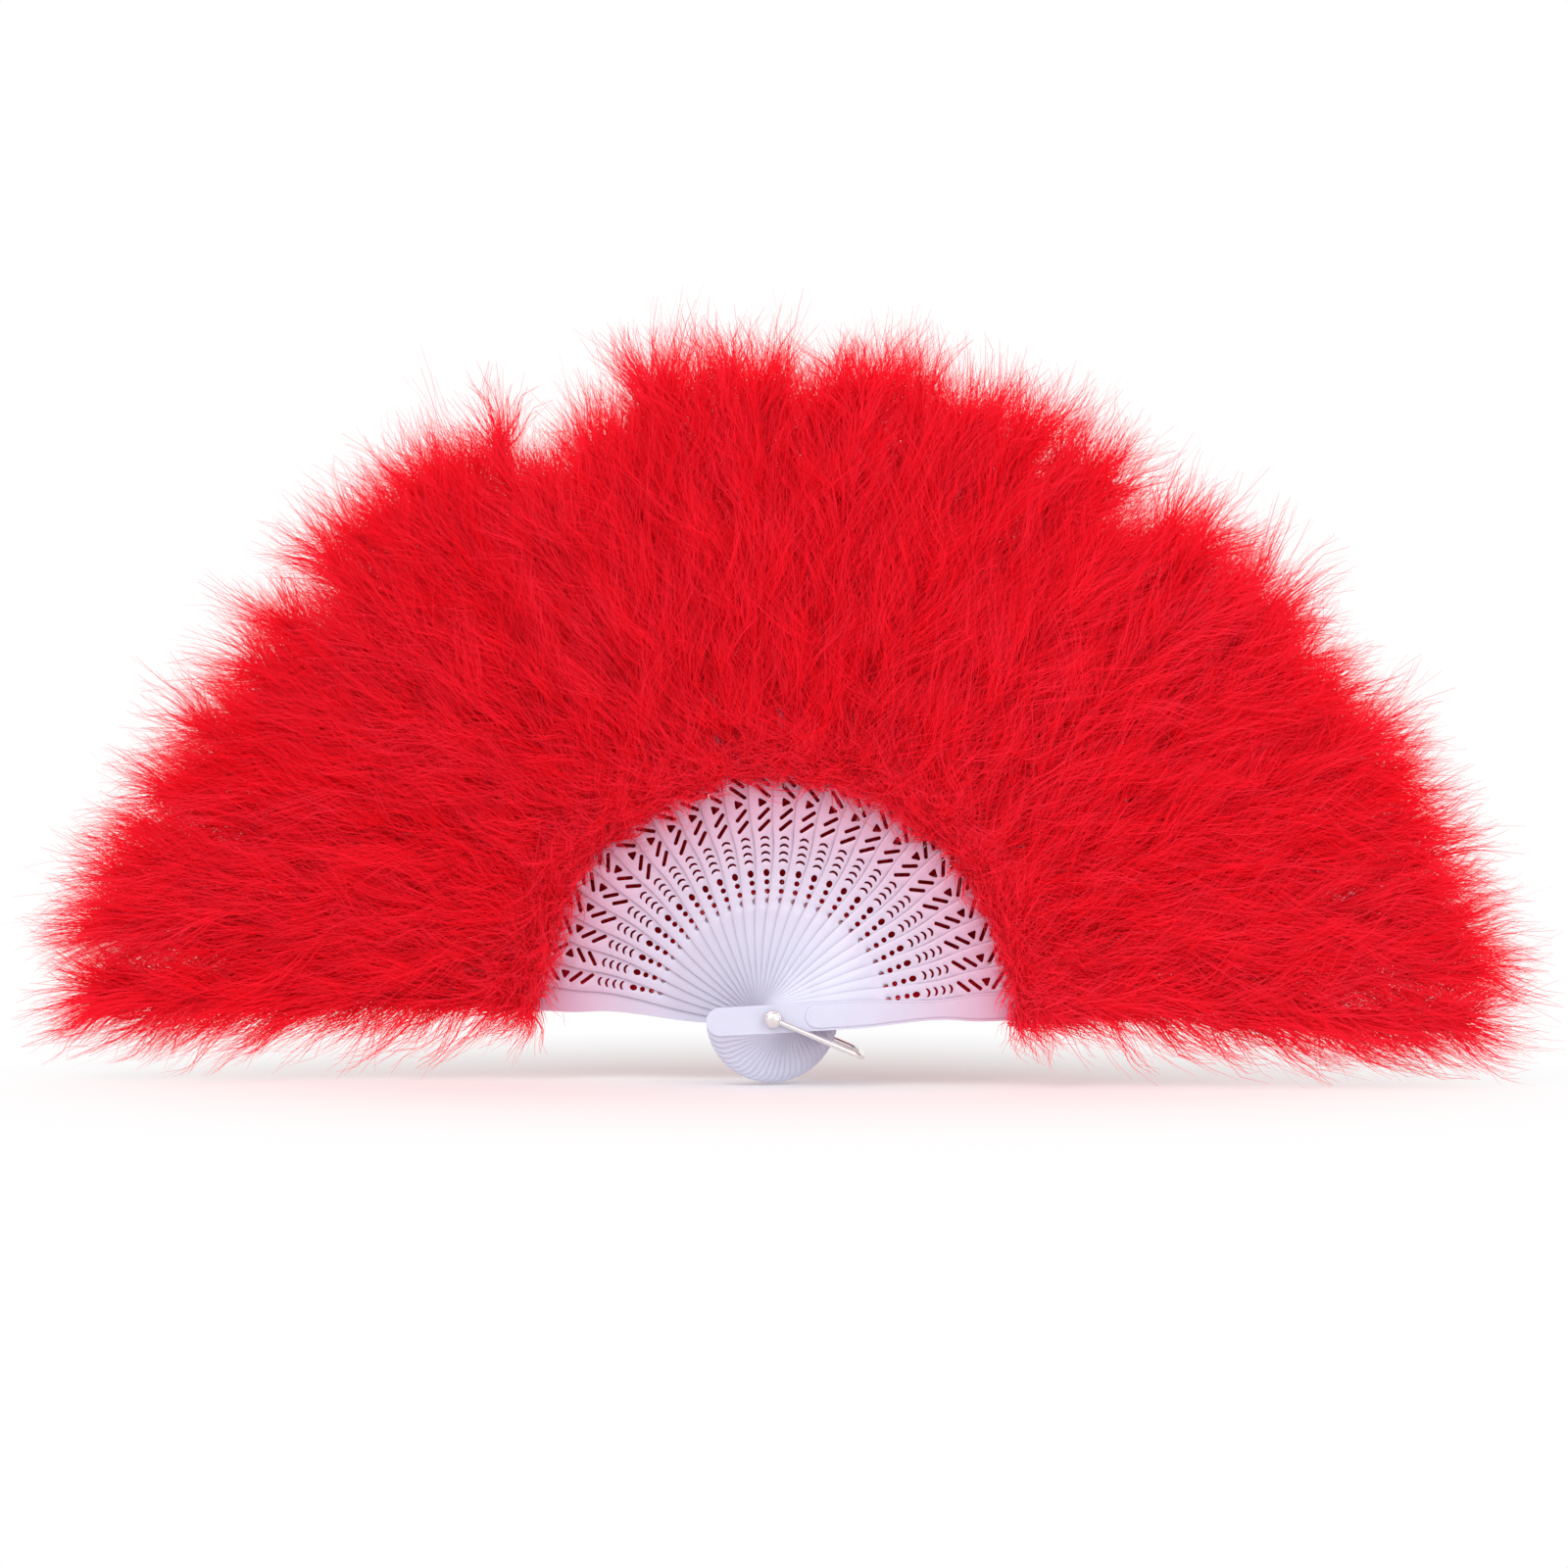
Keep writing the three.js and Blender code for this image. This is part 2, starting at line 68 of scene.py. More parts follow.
# Pierced sticks: 26 blades of white polystyrene, 1 mm thick, injection moulded with their piercing.
# They are strung on one rivet through their roots, each a layer behind its right neighbour,
# and five of them were strung with their other face forward, so their piercing is mirrored.
MM = 0.001
STICK_COUNT = 28
LAST_STICK = STICK_COUNT - 1
FIRST_STICK_ANGLE = math.radians(3.2)
fold = next(joint for joint in frame["joints"] if joint["name"] == "fold")
STICK_PITCH = math.radians(fold["range_deg"][1]) / LAST_STICK
STICK_THICKNESS = 1 * MM
LAYER_PITCH = 1.3 * MM
ROOT_REACH = 25 * MM
HUB_END, HUB_HALF = 28 * MM, 5.35 * MM
WAIST_RADIUS, WAIST_HALF = 61 * MM, 3.75 * MM
SHOULDER_RADIUS, SHOULDER_HALF = 80 * MM, 5.3 * MM
STICK_LENGTH, TIP_HALF, TIP_CORNER = 190 * MM, 7.3 * MM, 2.2 * MM
ROOT_STEPS, SIDE_STEPS, CORNER_STEPS = 13, 25, 7
PIVOT_BORE, BORE_SIDES = 1.75 * MM, 24
EDGE_ROUND, EDGE_ANGLE = 0.12 * MM, math.radians(40)
TURNED_STICKS = (21, 22, 23, 24, 26)
PIERCING = {
    "Thickness": STICK_THICKNESS,
    "Bore": PIVOT_BORE,
    "Dots from": 43.8 * MM,
    "Dot pitch": 3.5 * MM,
    "Dot count": 3,
    "Dot size": 2 * MM,
    "Last dot at": 54.3 * MM,
    "Last dot width": 2.3 * MM,
    "Last dot height": 2.8 * MM,
    "Arcs from": 58.8 * MM,
    "Arc pitch": 2.85 * MM,
    "Arc count": 4,
    "Arc width": 3.3 * MM,
    "Arc band": 0.9 * MM,
    "Arc sag": 0.8 * MM,
    "Inner slots from": 72.2 * MM,
    "Inner slot pitch": 4.4 * MM,
    "Inner slot length": 6.2 * MM,
    "Outer slots from": 85.3 * MM,
    "Outer slot pitch": 4.3 * MM,
    "Outer slot length": 7.6 * MM,
    "Slot count": 2,
    "Slot width": 1.4 * MM,
    "Slot lean": math.radians(43),
    "Heart at": 80.9 * MM,
    "Heart height": 3.9 * MM,
    "Heart width": 3.6 * MM,
    "Heart corner": 0.5 * MM,
    "Face": 1.0,
}


def linear(colour):
    """A hex colour as it is seen, turned to the linear values that shaders take."""
    channels = [int(colour[at : at + 2], 16) / 255 for at in (1, 3, 5)]
    return (*[c / 12.92 if c <= 0.04045 else ((c + 0.055) / 1.055) ** 2.4 for c in channels], 1)


def add_node(tree, kind, links=None, **settings):
    """Adds a node with its settings, links or sets the inputs named, and gives its first output."""
    node = tree.nodes.new(kind)
    for setting, value in settings.items():
        setattr(node, setting, value)
    sockets = [socket for socket in node.inputs if socket.enabled]
    for key, value in (links or {}).items():
        socket = sockets[key] if isinstance(key, int) else next(s for s in sockets if s.name == key)
        for source in value if isinstance(value, list) else [value]:
            if isinstance(source, bpy.types.NodeSocket):
                tree.links.new(source, socket)
            else:
                socket.default_value = source
    return next((output for output in node.outputs if output.enabled), node)


def start_tree(name, sizes):
    """A geometry tree with one named input for each size, and the outputs of its input node."""
    tree = bpy.data.node_groups.new(name, "GeometryNodeTree")
    tree.interface.new_socket("Geometry", in_out="INPUT", socket_type="NodeSocketGeometry")
    for label, size in sizes.items():
        kind = "NodeSocketInt" if isinstance(size, int) else "NodeSocketFloat"
        tree.interface.new_socket(label, in_out="INPUT", socket_type=kind).default_value = size
    tree.interface.new_socket("Geometry", in_out="OUTPUT", socket_type="NodeSocketGeometry")
    return tree, tree.nodes.new("NodeGroupInput").outputs


def run_tree(guide, tree, sizes, material, bevel=0):
    """Runs a tree on a guide mesh with the sizes given, and returns the result as a plain mesh."""
    source = bpy.data.objects.new("guide", guide)
    bpy.context.scene.collection.objects.link(source)
    modifier = source.modifiers.new("nodes", "NODES")
    modifier.node_group = tree
    for socket in tree.interface.items_tree:
        if socket.in_out == "INPUT" and socket.name in sizes:
            modifier[socket.identifier] = sizes[socket.name]
    if bevel:
        rounding = source.modifiers.new("rounding", "BEVEL")
        rounding.width, rounding.segments = bevel, 1
        rounding.limit_method, rounding.angle_limit = "ANGLE", EDGE_ANGLE
        rounding.use_clamp_overlap = False
    bpy.context.view_layer.update()
    depsgraph = bpy.context.evaluated_depsgraph_get()
    made = bpy.data.meshes.new_from_object(source.evaluated_get(depsgraph), depsgraph=depsgraph)
    bpy.data.objects.remove(source)
    made.materials.clear()
    made.materials.append(material)
    return made


def add_piece(name, mesh, body, slot, *nodes):
    """Shows a finished mesh as a piece that rides its body and stands for these CAD nodes."""
    piece = bpy.data.objects.new(name, mesh)
    bpy.context.scene.collection.objects.link(piece)
    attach(piece, body)
    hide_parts(*nodes)
    return piece


def stick_angle(index):
    return FIRST_STICK_ANGLE + STICK_PITCH * index


def stick_layer(index):
    return (index - LAST_STICK / 2) * LAYER_PITCH


def stick_place(index):
    """From a stick's own plane, x outwards and y to its left, to its place in the open fan."""
    turn = Matrix.Rotation(-stick_angle(index), 4, "Y") @ Matrix.Rotation(math.pi / 2, 4, "X")
    return Matrix.Translation((0, stick_layer(index), 0)) @ turn


def stick_body(index):
    return {0: "front_guard", LAST_STICK: "back_guard"}.get(index, f"leaf_{index:02d}")


def left_edge(inset=0):
    """A stick's left edge from its hub over the waist to its shoulder, drawn in by inset."""
    knots = (HUB_END, WAIST_RADIUS, SHOULDER_RADIUS)
    halves = (HUB_HALF, WAIST_HALF, SHOULDER_HALF)
    points = []
    for radius in np.linspace(HUB_END, SHOULDER_RADIUS, SIDE_STEPS):
        part = 0 if radius < WAIST_RADIUS else 1
        share = (radius - knots[part]) / (knots[part + 1] - knots[part])
        ease = (1 - math.cos(math.pi * share)) / 2
        points.append((radius, halves[part] + (halves[part + 1] - halves[part]) * ease - inset))
    return points


def stick_outline():
    """A stick's outline from its root's end, up its left side to the tip and down its right."""
    middle = HUB_HALF - ROOT_REACH
    turns = np.linspace(math.pi, math.pi / 2, ROOT_STEPS)
    root = [(middle + HUB_HALF * math.cos(a), HUB_HALF * math.sin(a)) for a in turns]
    tip = [
        (STICK_LENGTH - TIP_CORNER * (1 - math.cos(a)), TIP_HALF - TIP_CORNER * (1 - math.sin(a)))
        for a in np.linspace(math.pi / 2, 0, CORNER_STEPS)
    ]
    left = root + left_edge() + tip
    return left + [(x, -y) for x, y in reversed(left[1:])]


def closed_line(points):
    """A mesh of one closed line of edges, for a tree to take as an outline."""
    count = len(points)
    links = [(at, (at + 1) % count) for at in range(count)]
    mesh = bpy.data.meshes.new("outline")
    mesh.from_pydata([(x, y, 0) for x, y in points], links, [])
    return mesh


def smooth_by_angle(mesh, degrees=35, flat_from=0.9999):
    """Smooth shading over round edges, with the stick's own flat faces left flat."""
    smooth = [abs(polygon.normal.z) < flat_from for polygon in mesh.polygons]
    mesh.polygons.foreach_set("use_smooth", smooth)
    mesh.set_sharp_from_angle(angle=math.radians(degrees))


# White polystyrene, injection moulded: a soft gloss over a slightly cloudy, faintly violet white.
# Towards the blade its colour is painted rose: painted red light, for the red light that the down bounces
# onto it and sends through it.
# The mould's grain is drawn coarser than a real one, so that it shows.
CLOUD_SIZE = 14 * MM
MOULD_GRAIN, GRAIN_DEPTH, GRAIN_STRENGTH = 0.7 * MM, 0.05 * MM, 0.06
PAINTED_ROSE_START, PAINTED_ROSE_END, PAINTED_ROSE_POWER = 22 * MM, 95 * MM, 1.7
LIGHT_THROUGH_BLADE = 0.12
polystyrene = bpy.data.materials.new("white_polystyrene")
polystyrene.use_nodes = True
plastic = polystyrene.node_tree
plastic_shader = plastic.nodes["Principled BSDF"]
plastic_shader.inputs["IOR"].default_value = 1.58
plastic_place = add_node(plastic, "ShaderNodeTexCoord").node.outputs["Object"]
cloud = add_node(
    plastic, "ShaderNodeTexNoise", {"Vector": plastic_place, "Scale": 1 / CLOUD_SIZE, "Detail": 3.0}
)
white = add_node(
    plastic,
    "ShaderNodeMix",
    {"Factor": cloud, "A": linear("#d4d5ea"), "B": linear("#e0e1f2")},
    data_type="RGBA",
)
# Painted red light: the white turns rose with distance from the rivet, towards the down
on_face = add_node(
    plastic, "ShaderNodeVectorMath", {0: plastic_place, 1: (1.0, 0.0, 1.0)}, operation="MULTIPLY"
)
from_rivet = add_node(plastic, "ShaderNodeVectorMath", {0: on_face}, operation="LENGTH")
nearness = add_node(
    plastic,
    "ShaderNodeMapRange",
    {"Value": from_rivet.node.outputs["Value"], "From Min": PAINTED_ROSE_START, "From Max": PAINTED_ROSE_END},
)
painted_rose_light = add_node(plastic, "ShaderNodeMath", {0: nearness, 1: PAINTED_ROSE_POWER}, operation="POWER")
white_with_painted_rose = add_node(
    plastic, "ShaderNodeMix", {"Factor": painted_rose_light, "A": white, "B": linear("#d98aac")}, data_type="RGBA"
)
plastic.links.new(white_with_painted_rose, plastic_shader.inputs["Base Color"])
gloss = add_node(plastic, "ShaderNodeMapRange", {"Value": cloud, "To Min": 0.24, "To Max": 0.38})
plastic.links.new(gloss, plastic_shader.inputs["Roughness"])
grain = add_node(
    plastic, "ShaderNodeTexNoise", {"Vector": plastic_place, "Scale": 1 / MOULD_GRAIN, "Detail": 2.0}
)
peel = add_node(
    plastic, "ShaderNodeBump", {"Height": grain, "Strength": GRAIN_STRENGTH, "Distance": GRAIN_DEPTH}
)
plastic.links.new(peel, plastic_shader.inputs["Normal"])
through = add_node(plastic, "ShaderNodeBsdfTranslucent", {"Color": white_with_painted_rose})
thin = add_node(
    plastic,
    "ShaderNodeMixShader",
    {0: LIGHT_THROUGH_BLADE, 1: plastic_shader.outputs["BSDF"], 2: through},
)
plastic.links.new(thin, plastic.nodes["Material Output"].inputs["Surface"])

stick_tree, stick_size = start_tree("pierced_stick", PIERCING)
DOT_SIDES = 16
BAND_CUTS = 5
ROUNDING_STEPS = 4
SLOT_END_SHARE = 0.48


def hole_row(hole, start, pitch, count):
    """The same hole, count times along the stick from start."""
    first = add_node(stick_tree, "ShaderNodeCombineXYZ", {"X": start})
    step = add_node(stick_tree, "ShaderNodeCombineXYZ", {"X": pitch})
    line = add_node(
        stick_tree, "GeometryNodeMeshLine", {"Count": count, "Start Location": first, "Offset": step}
    )
    return add_node(stick_tree, "GeometryNodeInstanceOnPoints", {"Points": line, "Instance": hole})


# Round dots, and a larger oval one after them
unit_ring = add_node(
    stick_tree, "GeometryNodeCurvePrimitiveCircle", {"Resolution": DOT_SIDES, "Radius": 0.5}
)
dot = add_node(
    stick_tree, "GeometryNodeTransform", {"Geometry": unit_ring, "Scale": stick_size["Dot size"]}
)
dots = hole_row(dot, stick_size["Dots from"], stick_size["Dot pitch"], stick_size["Dot count"])
last_size = add_node(
    stick_tree,
    "ShaderNodeCombineXYZ",
    {"X": stick_size["Last dot height"], "Y": stick_size["Last dot width"], "Z": 1.0},
)
last_at = add_node(stick_tree, "ShaderNodeCombineXYZ", {"X": stick_size["Last dot at"]})
last_dot = add_node(
    stick_tree,
    "GeometryNodeTransform",
    {"Geometry": unit_ring, "Translation": last_at, "Scale": last_size},
)

# Bent bands, whose middle points outwards: half the sag lies before the band's place, and half behind
band = add_node(
    stick_tree,
    "GeometryNodeCurvePrimitiveQuadrilateral",
    {"Width": stick_size["Arc band"], "Height": stick_size["Arc width"]},
)
band = add_node(stick_tree, "GeometryNodeSubdivideCurve", {"Curve": band, "Cuts": BAND_CUTS})
band_place = add_node(stick_tree, "GeometryNodeInputPosition")
across = add_node(stick_tree, "ShaderNodeSeparateXYZ", {"Vector": band_place}).node.outputs["Y"]
across = add_node(
    stick_tree, "ShaderNodeMath", {0: across, 1: stick_size["Arc width"]}, operation="DIVIDE"
)
square = add_node(stick_tree, "ShaderNodeMath", {0: across, 1: across}, operation="MULTIPLY")
drop = add_node(stick_tree, "ShaderNodeMath", {0: square, 1: -4.0, 2: 0.5}, operation="MULTIPLY_ADD")
drop = add_node(stick_tree, "ShaderNodeMath", {0: drop, 1: stick_size["Arc sag"]}, operation="MULTIPLY")
bend = add_node(stick_tree, "ShaderNodeCombineXYZ", {"X": drop})
band = add_node(stick_tree, "GeometryNodeSetPosition", {"Geometry": band, "Offset": bend})
arcs = hole_row(band, stick_size["Arcs from"], stick_size["Arc pitch"], stick_size["Arc count"])

# Slots with round ends: the inner pair leans one way and the outer pair the other
end_round = add_node(
    stick_tree, "ShaderNodeMath", {0: stick_size["Slot width"], 1: SLOT_END_SHARE}, operation="MULTIPLY"
)
slots = []
for pair, lean in (("Inner", 1.0), ("Outer", -1.0)):
    bar = add_node(
        stick_tree,
        "GeometryNodeCurvePrimitiveQuadrilateral",
        {"Width": stick_size["Slot width"], "Height": stick_size[f"{pair} slot length"]},
    )
    bar = add_node(
        stick_tree,
        "GeometryNodeFilletCurve",
        {"Curve": bar, "Count": ROUNDING_STEPS, "Radius": end_round},
        mode="POLY",
    )
    turn = add_node(
        stick_tree, "ShaderNodeMath", {0: stick_size["Slot lean"], 1: lean}, operation="MULTIPLY"
    )
    turn = add_node(stick_tree, "ShaderNodeCombineXYZ", {"Z": turn})
    bar = add_node(stick_tree, "GeometryNodeTransform", {"Geometry": bar, "Rotation": turn})
    first_slot, slot_pitch = stick_size[f"{pair} slots from"], stick_size[f"{pair} slot pitch"]
    slots.append(hole_row(bar, first_slot, slot_pitch, stick_size["Slot count"]))

# The heart: a rounded triangle with its point to the stick's right, from an even one of radius 1
EVEN_SIDE, EVEN_HEIGHT = math.sqrt(3), 1.5
wedge = add_node(stick_tree, "GeometryNodeCurvePrimitiveCircle", {"Resolution": 3, "Radius": 1.0})
wedge = add_node(
    stick_tree,
    "GeometryNodeTransform",
    {"Geometry": wedge, "Translation": (0, 1 - EVEN_HEIGHT / 2, 0), "Rotation": (0, 0, -math.pi / 2)},
)
heart_x = add_node(
    stick_tree, "ShaderNodeMath", {0: stick_size["Heart height"], 1: EVEN_SIDE}, operation="DIVIDE"
)
heart_y = add_node(
    stick_tree, "ShaderNodeMath", {0: stick_size["Heart width"], 1: EVEN_HEIGHT}, operation="DIVIDE"
)
heart_size = add_node(stick_tree, "ShaderNodeCombineXYZ", {"X": heart_x, "Y": heart_y, "Z": 1.0})
heart_at = add_node(stick_tree, "ShaderNodeCombineXYZ", {"X": stick_size["Heart at"]})
heart = add_node(
    stick_tree, "GeometryNodeTransform", {"Geometry": wedge, "Translation": heart_at, "Scale": heart_size}
)
heart = add_node(
    stick_tree,
    "GeometryNodeFilletCurve",
    {"Curve": heart, "Count": ROUNDING_STEPS, "Radius": stick_size["Heart corner"]},
    mode="POLY",
)

# The outline and all holes fill as one flat sheet, which is then given its thickness
piercing = add_node(stick_tree, "GeometryNodeJoinGeometry", {0: [dots, last_dot, arcs, *slots, heart]})
piercing = add_node(stick_tree, "GeometryNodeRealizeInstances", {"Geometry": piercing})
face = add_node(stick_tree, "ShaderNodeCombineXYZ", {"X": 1.0, "Y": stick_size["Face"], "Z": 1.0})
piercing = add_node(stick_tree, "GeometryNodeTransform", {"Geometry": piercing, "Scale": face})
bore = add_node(
    stick_tree,
    "GeometryNodeCurvePrimitiveCircle",
    {"Resolution": BORE_SIDES, "Radius": stick_size["Bore"]},
)
outline = add_node(stick_tree, "GeometryNodeMeshToCurve", {"Mesh": stick_size["Geometry"]})
cut_lines = add_node(stick_tree, "GeometryNodeJoinGeometry", {0: [outline, bore, piercing]})
flat_blade = add_node(stick_tree, "GeometryNodeFillCurve", {"Curve": cut_lines}, mode="TRIANGLES")
raised = add_node(
    stick_tree,
    "GeometryNodeExtrudeMesh",
    {
        "Mesh": flat_blade,
        "Offset": (0, 0, 1),
        "Offset Scale": stick_size["Thickness"],
        "Individual": False,
    },
)
underside = add_node(stick_tree, "GeometryNodeFlipFaces", {"Mesh": flat_blade})
blade = add_node(stick_tree, "GeometryNodeJoinGeometry", {0: [raised, underside]})
blade = add_node(stick_tree, "GeometryNodeMergeByDistance", {"Geometry": blade, "Distance": 0.002 * MM})
half_back = add_node(
    stick_tree, "ShaderNodeMath", {0: stick_size["Thickness"], 1: -0.5}, operation="MULTIPLY"
)
to_middle = add_node(stick_tree, "ShaderNodeCombineXYZ", {"Z": half_back})
blade = add_node(stick_tree, "GeometryNodeSetPosition", {"Geometry": blade, "Offset": to_middle})
blade = add_node(stick_tree, "GeometryNodeRealizeInstances", {"Geometry": blade})
blade = add_node(stick_tree, "GeometryNodeSetMaterial", {"Geometry": blade, "Material": polystyrene})
add_node(stick_tree, "NodeGroupOutput", {"Geometry": blade})

for index in range(1, LAST_STICK):
    turned = {"Face": -1.0 if index in TURNED_STICKS else 1.0}
    blade_mesh = run_tree(closed_line(stick_outline()), stick_tree, turned, polystyrene, EDGE_ROUND)
    smooth_by_angle(blade_mesh, degrees=50)
    blade_mesh.transform(stick_place(index))
    node = f"stick_{index:02d}"
    add_piece(f"pierced_{node}", blade_mesh, stick_body(index), "white_plastic", node)

# Guards: the two plain outer sticks, moulded like the others but with a raised panel instead of piercing.
# The panel is on the face that the closed fan shows, so it is in front on the right and behind on the left.
PANEL_START, PANEL_END = 12 * MM, 104 * MM
PANEL_INSET = 0.9 * MM
PANEL_HEIGHT = 0.6 * MM
PANEL_ROUND, PANEL_ROUND_STEPS = 0.5 * MM, 2
NOSE_FIRST_TURN, NOSE_STEPS = 0.1, 9


def curve_mesh(curve):
    """The finished surface of a curve as a plain mesh."""
    source = bpy.data.objects.new(curve.name, curve)
    bpy.context.scene.collection.objects.link(source)
    bpy.context.view_layer.update()
    depsgraph = bpy.context.evaluated_depsgraph_get()
    made = bpy.data.meshes.new_from_object(source.evaluated_get(depsgraph))
    bpy.data.objects.remove(source)
    return made


def plate(loops, low, high, rounding):
    """A flat plate between two heights, from an outline and its holes, with rounded edges."""
    drawing = bpy.data.curves.new("drawing", "CURVE")
    drawing.dimensions, drawing.fill_mode = "2D", "BOTH"
    drawing.extrude = (high - low) / 2 - rounding
    drawing.bevel_depth, drawing.offset = rounding, -rounding
    drawing.bevel_resolution = PANEL_ROUND_STEPS
    for loop in loops:
        spline = drawing.splines.new("POLY")
        spline.points.add(len(loop) - 1)
        spline.points.foreach_set("co", np.array([(x, y, 0, 1) for x, y in loop]).ravel())
        spline.use_cyclic_u = True
    made = curve_mesh(drawing)
    made.transform(Matrix.Translation((0, 0, (low + high) / 2)))
    return made


def joined(meshes):
    """One mesh from several, in their order."""
    points, faces, count = [], [], 0
    for mesh in meshes:
        points += [vertex.co[:] for vertex in mesh.vertices]
        faces += [[corner + count for corner in polygon.vertices] for polygon in mesh.polygons]
        count += len(mesh.vertices)
    made = bpy.data.meshes.new("joined")
    made.from_pydata(points, [], faces)
    return made


bore_turns = np.linspace(0, 2 * math.pi, BORE_SIDES, endpoint=False)
bore_loop = [(PIVOT_BORE * math.cos(a), -PIVOT_BORE * math.sin(a)) for a in bore_turns]
nose_half = HUB_HALF - PANEL_INSET
nose_turns = np.linspace(NOSE_FIRST_TURN, math.pi / 2, NOSE_STEPS)
panel_edge = [
    (PANEL_START + nose_half * (1 - math.cos(a)), nose_half * math.sin(a)) for a in nose_turns
]
panel_edge += left_edge(PANEL_INSET)
panel_edge.append((PANEL_END, SHOULDER_HALF - PANEL_INSET))
panel_loop = panel_edge + [(x, -y) for x, y in reversed(panel_edge)]
half_thickness = STICK_THICKNESS / 2
for index, side, facing in ((0, "right", 1), (LAST_STICK, "left", -1)):
    blank = plate([stick_outline(), bore_loop], -half_thickness, half_thickness, EDGE_ROUND)
    panel = plate([panel_loop], half_thickness - PANEL_HEIGHT, half_thickness + PANEL_HEIGHT, PANEL_ROUND)
    if facing < 0:
        panel.transform(Matrix.Rotation(math.pi, 4, "X"))
    guard = joined([blank, panel])
    guard.materials.append(polystyrene)
    smooth_by_angle(guard)
    guard.transform(stick_place(index))
    add_piece(f"{side}_guard", guard, stick_body(index), "white_plastic", f"{side}_guard_stick")

# Rivet and washer: a bright steel pin through all 28 roots, with a domed head in front.
# Its tail is closed over a thin washer behind, outside the bail's two eyes.
ROUND_SIDES = 40
HEAD_RADIUS, HEAD_HEIGHT, HEAD_EDGE = 2.8 * MM, 1.6 * MM, 0.4 * MM
HEAD_CHAMFER, DOME_STEPS = 0.15 * MM, 9
SHAFT_RADIUS = 1.5 * MM
WASHER_RADIUS, WASHER_BORE, WASHER_EDGE = 3.2 * MM, 1.72 * MM, 0.15 * MM
pin_low, pin_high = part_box("rivet_pin")
washer_low, washer_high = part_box("rivet_washer")

# Nickel-plated steel, barrelled bright: a warm grey mirror with a fine haze of handling marks.
HAZE_SIZE = 1.6 * MM
SCRATCH_SIZE, SCRATCH_DEPTH, SCRATCH_STRENGTH = 0.35 * MM, 0.02 * MM, 0.05
nickel = bpy.data.materials.new("nickel_plated_steel")
nickel.use_nodes = True
metal = nickel.node_tree
metal_shader = metal.nodes["Principled BSDF"]
metal_shader.inputs["Metallic"].default_value = 1.0
metal_place = add_node(metal, "ShaderNodeTexCoord").node.outputs["Object"]
haze = add_node(
    metal, "ShaderNodeTexNoise", {"Vector": metal_place, "Scale": 1 / HAZE_SIZE, "Detail": 4.0}
)
shine = add_node(metal, "ShaderNodeMapRange", {"Value": haze, "To Min": 0.12, "To Max": 0.3})
metal.links.new(shine, metal_shader.inputs["Roughness"])
plating = add_node(
    metal,
    "ShaderNodeMix",
    {"Factor": haze, "A": linear("#dcdadb"), "B": linear("#f0efee")},
    data_type="RGBA",
)
metal.links.new(plating, metal_shader.inputs["Base Color"])
scratches = add_node(
    metal, "ShaderNodeTexNoise", {"Vector": metal_place, "Scale": 1 / SCRATCH_SIZE, "Detail": 1.0}
)
marks = add_node(
    metal, "ShaderNodeBump", {"Height": scratches, "Strength": SCRATCH_STRENGTH, "Distance": SCRATCH_DEPTH}
)
metal.links.new(marks, metal_shader.inputs["Normal"])


def turned_mesh(profile):
    """A closed mesh turned about the Y axis from (radius, y) points; a radius of 0 closes an end."""
    points, rings = [], []
    for radius, y in profile:
        if radius == 0:
            rings.append([len(points)])
            points.append((0, y, 0))
            continue
        rings.append(range(len(points), len(points) + ROUND_SIDES))
        for side in range(ROUND_SIDES):
            turn = 2 * math.pi * side / ROUND_SIDES
            points.append((radius * math.cos(turn), y, radius * math.sin(turn)))
    faces = []
    for low, high in zip(rings, rings[1:]):
        for side in range(ROUND_SIDES):
            after = (side + 1) % ROUND_SIDES
            corners = [low[side % len(low)], high[side % len(high)]]
            corners += [high[after % len(high)], low[after % len(low)]]
            faces.append(list(dict.fromkeys(corners)))
    made = bpy.data.meshes.new("turned")
    made.from_pydata(points, [], faces)
    smooth_by_angle(made)
    made.materials.append(nickel)
    return made


def dome(tip, outward):
    """A head's profile from its seat's edge over a round shoulder to its tip."""
    seat = tip - outward * HEAD_HEIGHT
    shoulder = seat + outward * HEAD_EDGE
    crown_height = outward * (HEAD_HEIGHT - HEAD_EDGE)
    crown = [
        (HEAD_RADIUS * math.cos(a), shoulder + crown_height * math.sin(a))
        for a in np.linspace(0, math.pi / 2, DOME_STEPS)[:-1]
    ]
    chamfer = [(HEAD_RADIUS - HEAD_CHAMFER, seat), (HEAD_RADIUS, seat + outward * HEAD_CHAMFER)]
    return [*chamfer, *crown, (0, tip)]


front_head = dome(pin_low.y, -1)
tail_head = dome(pin_high.y, 1)
shaft = [(SHAFT_RADIUS, front_head[0][1]), (SHAFT_RADIUS, tail_head[0][1])]
pin = turned_mesh([*reversed(front_head), *shaft, *tail_head])
add_piece("rivet", pin, "front_guard", "bright_metal", "rivet_pin")
washer_ring = [(WASHER_BORE, washer_low.y + WASHER_EDGE), (WASHER_BORE + WASHER_EDGE, washer_low.y)]
washer_ring += [(WASHER_RADIUS - WASHER_EDGE, washer_low.y), (WASHER_RADIUS, washer_low.y + WASHER_EDGE)]
washer_ring += [(WASHER_RADIUS, washer_high.y - WASHER_EDGE), (WASHER_RADIUS - WASHER_EDGE, washer_high.y)]
washer_ring += [(WASHER_BORE + WASHER_EDGE, washer_high.y), (WASHER_BORE, washer_high.y - WASHER_EDGE)]
washer = turned_mesh([*washer_ring, washer_ring[0]])
add_piece("washer", washer, "front_guard", "bright_metal", "rivet_washer")

